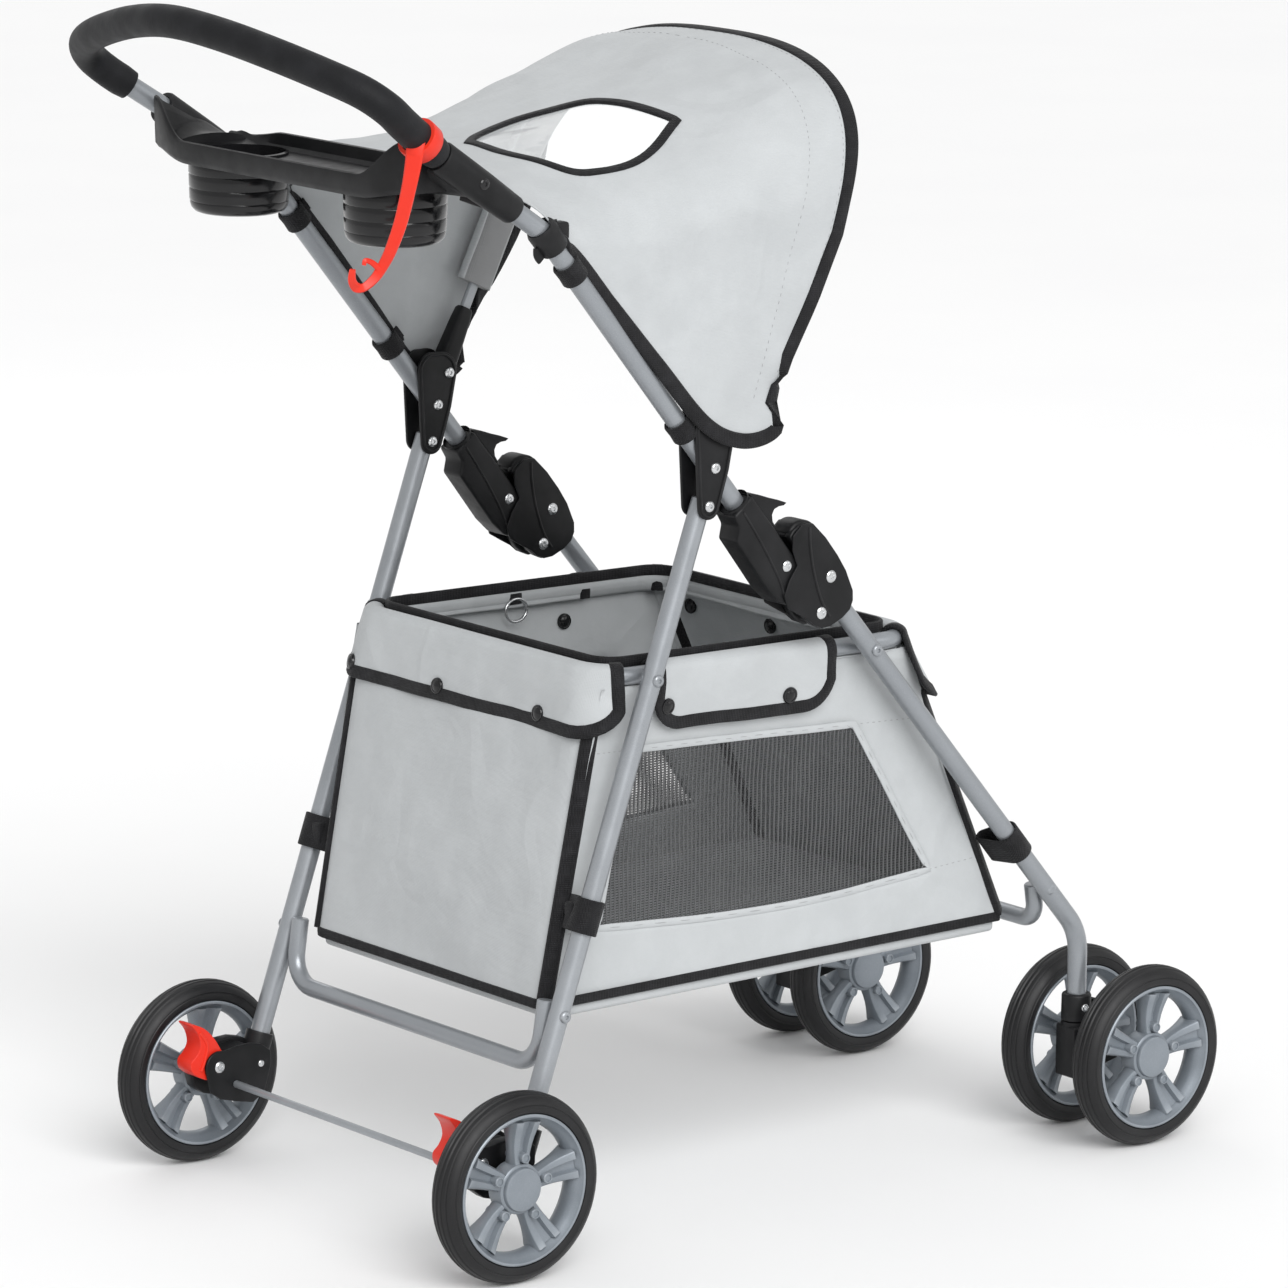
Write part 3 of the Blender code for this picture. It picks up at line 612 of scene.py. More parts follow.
# ---- frame dimensions, the same as the CAD's ---------------------------------------------
TUBE_R, CROSS_R, TUBE_Y = 8.0, 7.0, 175.5
WHEEL_R, TYRE_HALF = 75.0, 13.5
REAR_AXLE_X, FRONT_AXLE_X, REAR_WHEEL_Y = -271.0, 373.0, 208.5
CASTER_X, CASTER_Y, TWIN_GAP = 335.0, 178.0, 43.0
LEG_PIVOT, BRACKET_RIVET, BOW_PIVOT = (-68.0, 575.3), (-62.3, 604.7), (-51.0, 630.0)
LOCK_PIVOT, RAIL_REAR, RAIL_FRONT = (44.0, 479.0), (-115.0, 444.0), (107.8, 440.0)
HANDLE_ANGLE, BOW_ANGLE = math.radians(129.77), math.radians(64.2)
SHOULDER, CLAMP_END = Vector((-222.0, 175.5, 798.6)), Vector((-322.0, 177.5, 864.5))
PEDAL_PIVOT = (-287.0, 91.4)
REAR_LEG_SLOPE, FRONT_LEG_SLOPE = 0.3525, 1.162
HANDLE_WAY = Vector((math.cos(HANDLE_ANGLE), 0, math.sin(HANDLE_ANGLE)))
HANDLE_FRONT = Vector((math.sin(HANDLE_ANGLE), 0, -math.cos(HANDLE_ANGLE)))
BOW_WAY = Vector((math.cos(BOW_ANGLE), 0, math.sin(BOW_ANGLE)))
BOW_FRONT = Vector((math.sin(BOW_ANGLE), 0, -math.cos(BOW_ANGLE)))


def at(point, y):
    """An (x, z) point set at a y."""
    return Vector((point[0], y, point[1]))


def flip(point, sign):
    """Mirror a left-hand point to the right where sign is -1."""
    return Vector((point[0], point[1] * sign, point[2]))


def lock_point(along, across):
    """X and Z of a point given along the handle tube and in front of it, from the lock's pivot."""
    c, s = math.cos(HANDLE_ANGLE), math.sin(HANDLE_ANGLE)
    return LOCK_PIVOT[0] + along * c + across * s, LOCK_PIVOT[1] + along * s - across * c


def rear_leg_x(z):
    return LEG_PIVOT[0] - (LEG_PIVOT[1] - z) * REAR_LEG_SLOPE


def front_leg_z(x):
    return RAIL_FRONT[1] - (x - RAIL_FRONT[0]) * FRONT_LEG_SLOPE


# ---- wheels ------------------------------------------------------------------------------
def tyre_shape():
    """Round-shouldered tyre with a bead, a side ridge and three tread grooves."""
    side = [(59.3, 10.6), (60.4, 12.4), (62.5, 13.2), (65.6, 13.45), (66.2, 13.0), (67.0, 13.4),
            (68.4, 12.9)]
    crown = []
    for angle in range(62, -63, -4):
        t = math.radians(angle)
        y = TYRE_HALF * math.sin(t)
        groove = any(abs(abs(y) - place) < 0.55 for place in (0.0, 4.2, 8.3))
        crown.append((WHEEL_R - 10 * (1 - math.cos(t)) - (1.0 if groove else 0.0), y))
    profile = side + crown + [(r, -y) for r, y in reversed(side)] + [(59.3, 0.0)]
    return Shape().lathe(profile, axis=(0, 1, 0), count=72, closed=True)


def spoke_section(distance):
    """One twin-ribbed blade of the wheel, across a given distance from the hub."""
    f = (distance - 13) / 38
    half = 6.8 + 5.6 * f
    top = 9.8 - 5.0 * math.sin(math.pi * min(f * 0.8 + 0.1, 1)) + 2.2 * f
    groove, depth = 1.0 + 2.4 * f, 0.6 + 3.2 * smooth(f * 1.6)
    rib = [(half, top - 3.4), (half - 1.4, top - 0.6), (half - 2.6, top), (groove + 1.6, top + 0.3),
           (groove, top - depth)]
    upper = rib + [(-a, b) for a, b in reversed(rib)]
    return upper + [(-a, -b) for a, b in upper]


def rim_shape():
    shape = Shape()
    lip = [(59.2, 11.0), (59.3, 12.4), (58.4, 13.0), (57.0, 12.7), (56.2, 11.2), (54.2, 8.6), (52.0, 5.4),
           (50.9, 2.4)]
    shape.lathe(mirrored(lip), axis=(0, 1, 0), count=72, closed=True)
    hub = [(0.0, 12.3), (10.0, 12.2), (14.6, 11.9), (16.6, 11.2), (17.3, 10.0), (17.5, 8.4), (18.6, 8.2),
           (19.6, 7.4), (20.0, 6.0)]
    shape.lathe(mirrored(hub), axis=(0, 1, 0), count=48)
    boss = [(4.1, 3.0), (4.1, 10.2), (3.6, 10.9), (2.9, 10.9), (2.7, 10.0), (2.2, 9.9), (0.0, 10.3)]
    for i in range(5):
        turn = math.radians(84 + 72 * i)
        way = Vector((math.cos(turn), 0, math.sin(turn)))
        side = Vector((-way.z, 0, way.x))
        shape.grid([[way * reach + side * a + Vector((0, b, 0)) for a, b in spoke_section(reach)]
                    for reach in (13, 17, 22, 28, 34, 40, 45, 48.5, 52.5)], around=True, ends=True)
        for face in (1, -1):
            shape.lathe(boss, way * 24.5, (0, face, 0), 16, capped=True)
    return shape


def wheels():
    """Six alike wheels share one tyre mesh and one rim mesh."""
    tyre, rim = tyre_shape().mesh("tyre"), rim_shape().mesh("rim")
    places = []
    for side, sign in SIDES:
        places.append((f"rear_{side}", REAR_AXLE_X, sign * REAR_WHEEL_Y, f"rear_wheel_{side}"))
        for twin, way in (("outer", 1), ("inner", -1)):
            places.append((f"front_{side}_{twin}", FRONT_AXLE_X, sign * (CASTER_Y + way * TWIN_GAP),
                           f"front_wheel_{side}_{twin}"))
    for label, x, y, body in places:
        for part, mesh in (("tyre", tyre), ("rim", rim)):
            obj = new_object(mesh, f"wheel_{part}_{label}", part, 32)
            obj.location = Vector((x, y, WHEEL_R)) * MM
            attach(obj, body)
            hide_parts(f"{part}_{label}")


# ---- frame tubes -------------------------------------------------------------------------
def mirrored_path(half):
    """A path from the left to the middle, followed by its right-hand mirror image."""
    return [Vector(p) for p in half] + [flip(p, -1) for p in half[::-1]]


def handle_path():
    """Centre line of the handle from the left lock, round the grip arch and down again."""
    arch = [(-329, 179.2, 869.2), (-348, 184, 882), (-364, 188.5, 893), (-379, 190, 905), (-393, 178, 917),
            (-406, 150, 927.5), (-418, 108, 938.5), (-428, 62, 948), (-434, 18, 953.5)]
    left = rounded([at(lock_point(48, 0), TUBE_Y), SHOULDER, CLAMP_END], 60, 6)
    over = curve_through([left[-1], *mirrored_path(arch), flip(left[-1], -1)], 5)
    return left[:-1] + over + [flip(p, -1) for p in left[-2::-1]]


def frame_tubes():
    y = TUBE_Y - TUBE_R - CROSS_R - 0.6
    bars = {"rear": [(-203.5, y, 201), (-211, y, 149)], "front": [(300, y, 218), (305, y, 186)]}
    for side, sign in SIDES:
        rear = [(rear_leg_x(z), sign * TUBE_Y, z) for z in (580, 84)]
        rear_rivets = [(rear_leg_x(z), z) for z in (RAIL_REAR[1], 192.0)]
        start, knee = ((x, sign * TUBE_Y, front_leg_z(x)) for x in (LOCK_PIVOT[0] + 3, RAIL_FRONT[0] + 20))
        corner = (CASTER_X, sign * CASTER_Y, front_leg_z(CASTER_X))
        front = [start] + rounded([knee, corner, (CASTER_X, sign * CASTER_Y, 104)], 48, 12)
        front_rivets = [(x, front_leg_z(x)) for x in (RAIL_FRONT[0], 299.0)]
        for end, path, rivets in (("rear", rear, rear_rivets), ("front", front, front_rivets)):
            shape = Shape().tube(path, TUBE_R, 32)
            for x, z in rivets:
                shape.rivet((x, sign * (TUBE_Y + TUBE_R), z), (0, sign, 0), 5.0, 2.2)
            piece(shape, f"{end}_leg_tube_{side}", "silver", f"{end}_frame", [f"{end}_leg_{side}"])
    for end, half in bars.items():
        bar = Shape().tube(rounded(mirrored_path(half), 26), CROSS_R, 28)
        piece(bar, f"{end}_cross_bar", "silver", f"{end}_frame", [f"{end}_cross_tube"])
    piece(Shape().tube(handle_path(), TUBE_R, 32), "handle_bar", "silver", "handle", ["handle_tube"])


def foam_grip():
    path = [p for p in handle_path() if p.z > (880 if p.y > 0 else 866)]
    total = len(path) - 1

    def swell(t):
        edge = min(t, 1 - t) * total
        return 1.0 if edge > 2 else (0.93 + 0.035 * edge)

    shape = Shape().sweep(path, ring(12.5, 36), scale=swell)
    grip = piece(shape, "foam_handle_grip", "foam", "handle", ["foam_grip"])


# ---- brackets, bow and fold locks --------------------------------------------------------
def brackets():
    circles = [(*LEG_PIVOT, 10.5), (-64, 606, 16), (-60, 631, 17), (-68, 634, 14)]
    outline = hull_outline(circles)
    ridge = hull_outline([(x, z, r - 2.6) for x, z, r in circles])
    for side, sign in SIDES:
        for layer, way in (("outer", 1), ("inner", -1)):
            near, face = (sign * (TUBE_Y + way * (TUBE_R + gap)) for gap in (0.4, 3.0))
            shape = Shape().plate(outline, near, face, 0.7)
            shape.sweep([at(p, face) for p in ridge], ring(1.1, 8), closed=True)
            piece(shape, f"bracket_plate_{layer}_{side}", "black", "handle", [f"bracket_{layer}_{side}"])
            heads = Shape()
            for point in (LEG_PIVOT, BRACKET_RIVET, BOW_PIVOT):
                heads.rivet(at(point, face), (0, sign * way, 0), 4.7, 2.3)
            piece(heads, f"bracket_rivets_{layer}_{side}", "steel", "handle")


def signed_power(value, power):
    return math.copysign(abs(value) ** power, value)


def bow_point(reach, y):
    return at(BOW_PIVOT, y) + BOW_WAY * reach


def bow_path():
    """Flattened arch of the canopy bow, from the left socket to the right one."""
    path = [bow_point(160 + 134 * math.sin(t) ** 0.72, TUBE_Y * signed_power(math.cos(t), 0.72))
            for t in spread(0, math.pi, 45)]
    return [bow_point(18, TUBE_Y)] + path + [bow_point(18, -TUBE_Y)]


def canopy_bow():
    shape = Shape().sweep(bow_path(), flat_section(4.2, 9.4), BOW_FRONT)
    piece(shape, "canopy_bow_bar", "silver", "canopy", ["canopy_bow"])
    sections = ((-9, 6.0, 5.8), (-7, 9.0, 7.3), (0, 9.4, 7.5), (18, 8.8, 7.4), (44, 7.4, 6.4),
                (53, 6.8, 5.2), (55, 5.4, 4.0))
    for side, sign in SIDES:
        rows = []
        for reach, half_x, half_y in sections:
            section = [(half_x * signed_power(a, 0.5), half_y * signed_power(b, 0.5)) for a, b in ring(1, 28)]
            centre = bow_point(reach, sign * TUBE_Y)
            rows.append([centre + BOW_FRONT * a + Vector((0, b, 0)) for a, b in section])
        shape = Shape().grid(rows, around=True, ends=True)
        piece(shape, f"bow_socket_cover_{side}", "black", "canopy", [f"bow_socket_{side}"])


def lock_plate(shape, outline, low, high, edge):
    return shape.plate([lock_point(*p) for p in outline], low, high, edge, 4)


def lock_ribs(shape, points, y, offset, radius):
    """The same raised rib on both cheeks of a lock."""
    for edge in (-1, 1):
        rib = [at(lock_point(*p), y + edge * offset) for p in points]
        shape.sweep(curve_through(rib, 5), ring(radius, 8))


def cross_rivets(shape, y, offset, *rivets):
    """Rivets (point, radius, proud) in pairs, facing away from a middle plane."""
    for edge in (-1, 1):
        for point, radius, proud in rivets:
            shape.rivet(at(point, y + edge * offset), (0, edge, 0), radius, proud)
    return shape


def fold_locks():
    # Outlines in the lock's own axes: along the handle tube, then towards the front.
    body = [(122, -12.4), (122, 10.3), (48, 10.3), (29, -8), (27.5, -19), (34, -22.5), (50, -24.6),
            (104, -23), (111, -14)]
    sleeve = [(12.6, 0.0), (12.9, 2.0), (12.2, 3.6), (12.2, 40.0)]
    tongue = [(60, -7.8), (60, 7.8), (10, 7.8), (4, 9.0), (-3, 8.6), (-8, 4.5), (-9.4, 0), (-8, -5),
              (-3, -8.6), (10, -8.8)]
    nose = [(82, 11), (121, 11), (120.6, 13), (114, 18), (105.2, 23.4), (97.5, 28.6), (89, 33.6), (89.6, 30),
            (92.6, 26), (94.2, 21.4), (92.4, 17.2), (88, 14.4), (82, 13.8)]
    wall = [(69, 16), (70.5, 22), (69.5, 29), (66, 35.2), (55, 40), (43.5, 41.3), (24, 41.0), (8, 39.3),
            (-10, 34.2), (-16.5, 29), (-19.8, 22), (-19.4, 12.7), (-15.4, 0), (-10.3, -7.6), (-3, -11.3),
            (5, -12.6), (14, -11.8), (21, -8.8), (42.5, 12.7), (48, 15.6)]
    bridge = [(68.5, 17), (69.5, 21), (68.4, 28), (64, 34), (54.5, 38.6), (43.5, 39.8), (24, 39.4), (8, 37.8),
              (-9, 33), (-15, 28), (-17.6, 21), (-12, 17), (60, 17)]
    bulge = [(72, 20), (72.5, 27), (70, 34), (62, 40.4), (49, 42.2), (46, 36), (52, 26), (66, 17.5)]
    cheek = [(62, 38.6), (69, 30), (68.6, 18), (60, 10.5), (47, 6.5), (44, -6), (38, -18), (28, -21.5),
             (16, -17), (5, -12.6), (-3, -11.1), (-10, -7.4), (-15.2, 0), (-19.0, 12.7), (-19.4, 22),
             (-16, 28.8), (-9.6, 33.8), (8, 38.8), (24, 40.5), (43.5, 40.8)]
    for side, sign in SIDES:
        y = sign * TUBE_Y
        upper = lock_plate(Shape(), body, y - 12.4, y + 12.4, 2.4)
        upper.lathe(sleeve, at(lock_point(124, 0), y), -HANDLE_WAY, 28)
        lock_plate(upper, tongue, y - 4.4, y + 4.4, 0.8)
        lock_ribs(upper, [(118, -4), (84, -7), (52, -12), (36, -17)], y, 12.2, 1.2)
        piece(upper, f"lock_sleeve_{side}", "black", "handle", [f"lock_upper_{side}"], 30)

        latch = lock_plate(Shape(), nose, y - 8, y + 8, 0.9)
        for k in range(4):
            ridge = lock_point(118 - 4.5 * k, 14.2 + 2.1 * k)
            latch.sweep([at(ridge, y - 6.4), at(ridge, y + 6.4)], ring(0.7, 6))
        piece(latch, f"latch_hook_{side}", "black", f"latch_{side}", [f"latch_{side}"], 30)

        lower = Shape()
        for edge in (1, -1):
            lock_plate(lower, wall, y + edge * 5.3, y + edge * 12.4, 1.9)
        lock_plate(lower, bridge, y - 6, y + 6, 0.6)
        lock_plate(lower, bulge, y - 10.6, y + 10.6, 3.4)
        for edge in (1, -1):
            lock_plate(lower, cheek, y + edge * 12.7, y + edge * 14.6, 0.8)
        lock_ribs(lower, [(62, 34), (50, 25), (30, 14), (8, 6), (-8, 4)], y, 14.5, 1.3)
        piece(lower, f"lock_housing_{side}", "black", "front_frame", [f"lock_lower_{side}"], 30)

        steel = cross_rivets(Shape(), y, 14.5, (LOCK_PIVOT, 5.0, 1.6), (lock_point(15.5, 25), 5.0, 1.6))
        steel.lathe([(3.0, -12.5), (3.0, 12.5)], at(LOCK_PIVOT, y), (0, 1, 0), 16)
        piece(steel, f"lock_rivets_{side}", "steel", "front_frame", [f"lock_pin_{side}"])
        heads = cross_rivets(Shape(), y, 12.3, (lock_point(53, 0), 4.6, 1.5))
        piece(heads, f"lock_sleeve_rivets_{side}", "steel", "handle")


# ---- rear brakes and axle ----------------------------------------------------------------
def brakes():
    end = REAR_WHEEL_Y + 11
    axle = Shape().tube([at((REAR_AXLE_X, WHEEL_R), y) for y in (-end, end)], 3.0, 20)
    piece(axle, "rear_axle_rod", "silver", "rear_frame", ["rear_axle"])
    boss = [(PEDAL_PIVOT[0] + 13.2 * math.cos(a), PEDAL_PIVOT[1] + 13.2 * math.sin(a))
            for a in (math.radians(d) for d in range(205, 95, -12))]
    cheek = boss + [(-281, 104), (-270, 106), (-257, 106.6), (-246, 104), (-236.4, 97), (-236.8, 84),
                    (-243, 63), (-254, 56.6), (-270, 60), (-286, 64.4), (-295, 71)]
    core = [(-274.6, 66), (-274.6, 101), (-257, 104.6), (-240, 96), (-240, 84), (-245.5, 65), (-255, 59.5),
            (-272, 62)]
    collar = [(9.0, 40.5), (11.1, 40.2), (11.3, 38.6), (11.1, 0.5), (10.2, -0.6), (8.4, -0.6)]
    paddle = [(-311, 129), (-305.5, 121), (-303, 111), (-306.5, 103.5), (-312, 98), (-311, 90), (-302, 83.5),
              (-291, 80.5), (-280, 84), (-277.6, 94), (-283, 104.5), (-290.5, 116), (-300, 125)]
    paddle = [tuple(p) for p in curve_through(paddle, 4, closed=True)]
    rib = [(-304, 122), (-297, 111), (-299, 99), (-303, 90)]
    for side, sign in SIDES:
        housing = Shape()
        for outline, near, far, edge in ((cheek, 155.2, 158.2, 1.1), (cheek, 179.2, 190.3, 1.1),
                                         (core, 158, 179.5, 0.6)):
            housing.plate(outline, sign * near, sign * far, edge)
        foot, head = (Vector((rear_leg_x(z), sign * TUBE_Y, z)) for z in (70, 109))
        housing.lathe(collar, foot, (head - foot).normalized(), 28)
        piece(housing, f"brake_case_{side}", "black", "rear_frame", [f"brake_housing_{side}"], 30)

        faces = sorted((sign * 158.7, sign * 178.8))
        pedal = Shape().plate(paddle, *faces, 1.6, 4)
        for face in faces:
            pedal.sweep(curve_through([at(p, face) for p in rib], 6), ring(1.4, 8))
        body = f"brake_pedal_{side}"
        piece(pedal, f"brake_pedal_paddle_{side}", "red", body, [body], 30)

        pins = Shape().lathe([(2.5, -16), (2.5, 16)], at(PEDAL_PIVOT, sign * 172), (0, 1, 0), 16)
        for face, out in ((155.2, -1), (190.3, 1)):
            pins.rivet(at(PEDAL_PIVOT, sign * face), (0, sign * out, 0), 4.8, 1.6)
            pins.rivet(at((-246.5, 88), sign * face), (0, sign * out, 0), 3.0, 1.2)
        piece(pins, f"brake_rivets_{side}", "steel", "rear_frame", [f"brake_pin_{side}"])


# ---- front casters -----------------------------------------------------------------------
def casters():
    x = CASTER_X
    cap = [(8.3, 22.4), (10.2, 22.6), (11.6, 21.8), (12.2, 20.4), (12.4, 6.0), (12.4, 0.4), (8.3, 0.2)]
    neck = [(9.0, 101.2), (12.2, 101.0), (12.5, 99.6), (12.5, 92.0)]
    hub = [(8.6, 0), (8.2, 12), (6.8, 17.5), (3.2, 18.2)]
    arm = hull_outline([(x + 4, 84, 8.5), (FRONT_AXLE_X, WHEEL_R, 10.8), (x + 4, 66, 9)])
    half = TWIN_GAP + 11
    for side, sign in SIDES:
        y = sign * CASTER_Y
        collar = Shape().lathe(cap, (x, y, 102), (0, 0, 1), 36)
        collar.block((x - 3, y - sign * 8 - 4, 108), (x + 9, y - sign * 8 + 4, 120), 1.4)
        piece(collar, f"caster_cap_{side}", "black", "front_frame", [f"caster_collar_{side}"])
        screws = cross_rivets(Shape(), y, 12.3, ((x - 1.5, 114), 3.4, 1.3))
        piece(screws, f"caster_screws_{side}", "steel", "front_frame")

        fork = Shape().block((x - 12.2, y - 11.6, 55), (x + 12.4, y + 11.6, 98.5), 2.2)
        fork.lathe(neck, (x, y, 0), (0, 0, 1), 36).plate(arm, y - 9, y + 9, 1.6)
        for edge in (-1, 1):
            for z in (66, 76, 86):
                fork.sweep([(x - 9, y + edge * 11.6, z), (x + 9, y + edge * 11.6, z)], ring(0.8, 6))
            fork.lathe(hub, (FRONT_AXLE_X, y + edge * 9, WHEEL_R), (0, edge, 0), 28)
        piece(fork, f"caster_body_{side}", "black", f"caster_{side}", [f"caster_fork_{side}"], 30)
        axle = Shape().tube([at((FRONT_AXLE_X, WHEEL_R), y + reach) for reach in (-half, half)], 3.0, 20)
        piece(axle, f"caster_axle_rod_{side}", "steel", f"caster_{side}", [f"caster_axle_{side}"])
        lever = Shape().solid([[(349, y + dy, 108), (363, y + dy * 0.8, 110), (363, y + dy * 0.8, 113.5),
                                (349, y + dy, 118)] for dy in (-6, 6)], 1.3)
        for k in range(3):
            ridge = (353 + 3 * k, 116.8 - 1.05 * k)
            lever.sweep([at(ridge, y - 4.4), at(ridge, y + 4.4)], ring(0.6, 6))
        piece(lever, f"swivel_lever_{side}", "black", f"swivel_lock_{side}", [f"swivel_lock_{side}"])


# ---- handle tray -------------------------------------------------------------------------
CUP_X, CUP_Y, CUP_TOP, CUP_R = -304.0, 100.0, 828.0, 39.0


def tray_section(y):
    """Upright section of the tray: a dish that narrows and climbs into the clamps."""
    s = abs(y)
    taper = max(s - 88, 0) / 100
    half = 47 * math.sqrt(max(1 - taper ** 2.2 * 0.72, 0.05))
    lift = 9 * smooth((s - 112) / 50)
    low, top, floor = 828.6 + lift * 0.75, 847 + lift, 834.5 + lift
    x = CUP_X + 2 * smooth((s - 130) / 40)
    front, rear = top - 13 * smooth((s - 105) / 50), top + 20 * smooth((s - 112) / 50)
    closing = smooth((s - 146) / 17)
    walls = []
    for rim in (front, rear):
        inner = floor + 3 + (rim - 2 - floor - 3) * closing
        walls.append([(half - 4, low), (half - 0.6, low + 4), (half + 0.6, rim - 3), (half, rim - 0.8),
                      (half - 1.4, rim), (half - 3.2, rim - 0.6), (half - 4.4, inner), (half - 8, inner - 3)])
    section = walls[0] + [(-a, z) for a, z in reversed(walls[1])]
    return [Vector((x + a, y, z)) for a, z in section]


def tray():
    dish = Shape().grid([tray_section(y) for y in spread(-163, 163, 72)], around=True, ends=True)
    obj = built(dish, "handle_tray", "black")
    for _, sign in SIDES:
        hole = Shape().lathe([(0, -30), (36, -30), (36, 30), (0, 30)], (CUP_X, sign * CUP_Y, 838), count=48)
        cut(obj, hole)
    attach(obj, "handle")
    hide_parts("cup_tray")
    outer = [(39.2, -1.5), (39.2, -6.8), (38.5, -8.0), (39.1, -9.2), (38.9, -17.4), (38.2, -18.6),
             (38.8, -19.8), (38.5, -27.4), (37.8, -28.6), (38.2, -29.8), (37.2, -33.6), (34.6, -36.6),
             (31.0, -38.0)]
    wall = [(35.9, 9.2), (38.2, 8.6), (38.4, 1.0), *outer, (0.0, -38.0), (0.0, -35.0), (31.5, -35.0),
            (34.6, -32.0), (35.6, -27.0)]
    for side, sign in SIDES:
        cup = Shape().lathe(wall, (CUP_X, sign * CUP_Y, CUP_TOP), count=56, closed=True)
        piece(cup, f"cup_holder_{side}", "gloss", "handle", [f"cup_{side}"])

        start, end = flip(SHOULDER, sign), flip(CLAMP_END, sign)
        way = (end - start).normalized()
        low = start.lerp(end, 0.30)
        length = (end - low).length
        sleeve = [(8.6, -0.4), (10.6, 0.0), (11.2, 1.2), (12.4, length * 0.45), (12.9, length - 2),
                  (12.0, length), (8.6, length)]
        clamp = Shape().lathe(sleeve, low, way, 36)
        root, middle = Vector((CUP_X, sign * 138, 839)), low.lerp(end, 0.55)
        arm = []
        for f in spread(0, 1, 10):
            hub = root.lerp(middle, f) + Vector((0, 0, 7 * (smooth(f) - f)))
            long, tall = 34 - 10 * smooth(f), 7.5 + 4.0 * smooth(f)
            arm.append([hub + Vector((a, 0, b - 0.55 * f * a)) for a, b in ring(long, 28, tall)])
        clamp.grid(arm, around=True, ends=True)
        if sign < 0:
            link = curve_through([(-262, -172, 822), (-268, -168, 823), (-280, -150, 829)], 5)
            clamp.sweep(link, ring(4.2, 12, 3.0))
        piece(clamp, f"tray_sleeve_{side}", "black", "handle", [f"tray_clamp_{side}"], 30)
        spot = low.lerp(end, 0.52)
        screws = cross_rivets(Shape(), spot.y, 12.2, ((spot.x, spot.z), 4.4, 1.4))
        piece(screws, f"tray_sleeve_screws_{side}", "gloss", "handle")


def hook_strap():
    centre, way = Vector((-343.0, -182.7, 878.1)), Vector((-15.5, -4.3, 11.0))
    face = Vector((-0.75, -0.62, 0.15))
    loop = [(12.8, -6.5), (15.6, -6.5), (16.1, -5.5), (16.1, 5.5), (15.6, 6.5), (12.8, 6.5)]
    shape = Shape().lathe(loop, centre, way, 44, closed=True)
    tail = [(-353, -190, 879), (-355, -191, 868), (-358, -189, 847), (-362, -184, 820),
            (-367, -178.5, 799), (-370, -173, 787), (-375, -170, 778), (-383, -167.5, 771.5),
            (-390, -167, 772), (-395, -168.5, 778), (-395.5, -170, 786)]
    widths = [(0, 1.35), (0.2, 1.0), (0.5, 0.74), (0.7, 0.56), (0.8, 0.7), (1.0, 0.4)]
    shape.sweep(curve_through(tail), flat_section(11.0, 3.4), face,
                scale=lambda t: (interpolate(widths, t), 1.0))
    barb = [(-372, -171.5, 784), (-377, -170, 789), (-383, -169, 791.5), (-384.5, -169, 788)]
    shape.sweep(curve_through(barb, 5), flat_section(5.0, 3.0), face, scale=lambda t: 1 - 0.4 * t)
    piece(shape, "red_hook_strap", "red", "handle", ["hook_strap"], 40)


# ---- basket ------------------------------------------------------------------------------
RAIL_X, RAIL_Y, RAIL_BEND, RAIL_ROUND = (-148.0, 166.0), 156.0, 30.0, 1200.5
WALL_TOP, WALL_FLOOR = 436.0, 194.0
# Offsets outwards and upwards of the cloth that wraps the rail, up to its bound edge inside.
COLLAR = [(2.0, -8.2), (-3.0, -9.6), (-8.6, -7.0), (-10.6, 0.0), (-10.8, 9.0)]


def rail_z(x):
    return RAIL_REAR[1] - 0.018 * (x - RAIL_REAR[0])


def rail_at(s):
    """Centre of the rail and its outward direction, s mm to the right from the rear middle."""
    sign = -1 if s >= 0 else 1
    s = abs(s)
    if s > RAIL_ROUND / 2:
        sign, s = -sign, RAIL_ROUND - s
    straight, bend = RAIL_Y - RAIL_BEND, RAIL_BEND * math.pi / 2
    side = RAIL_X[1] - RAIL_X[0] - 2 * RAIL_BEND
    if s < straight:
        x, y, out = RAIL_X[0], s, Vector((-1, 0, 0))
    elif s < straight + bend:
        a = (s - straight) / RAIL_BEND
        out = Vector((-math.cos(a), math.sin(a), 0))
        x, y = RAIL_X[0] + RAIL_BEND + out.x * RAIL_BEND, straight + out.y * RAIL_BEND
    elif s < straight + bend + side:
        x, y, out = RAIL_X[0] + RAIL_BEND + s - straight - bend, RAIL_Y, Vector((0, 1, 0))
    elif s < straight + 2 * bend + side:
        a = (s - straight - bend - side) / RAIL_BEND
        out = Vector((math.sin(a), math.cos(a), 0))
        x, y = RAIL_X[1] - RAIL_BEND + out.x * RAIL_BEND, straight + out.y * RAIL_BEND
    else:
        x, y, out = RAIL_X[1], straight - (s - straight - 2 * bend - side), Vector((1, 0, 0))
    return Vector((x, y * sign, rail_z(x))), Vector((out.x, out.y * sign, 0))


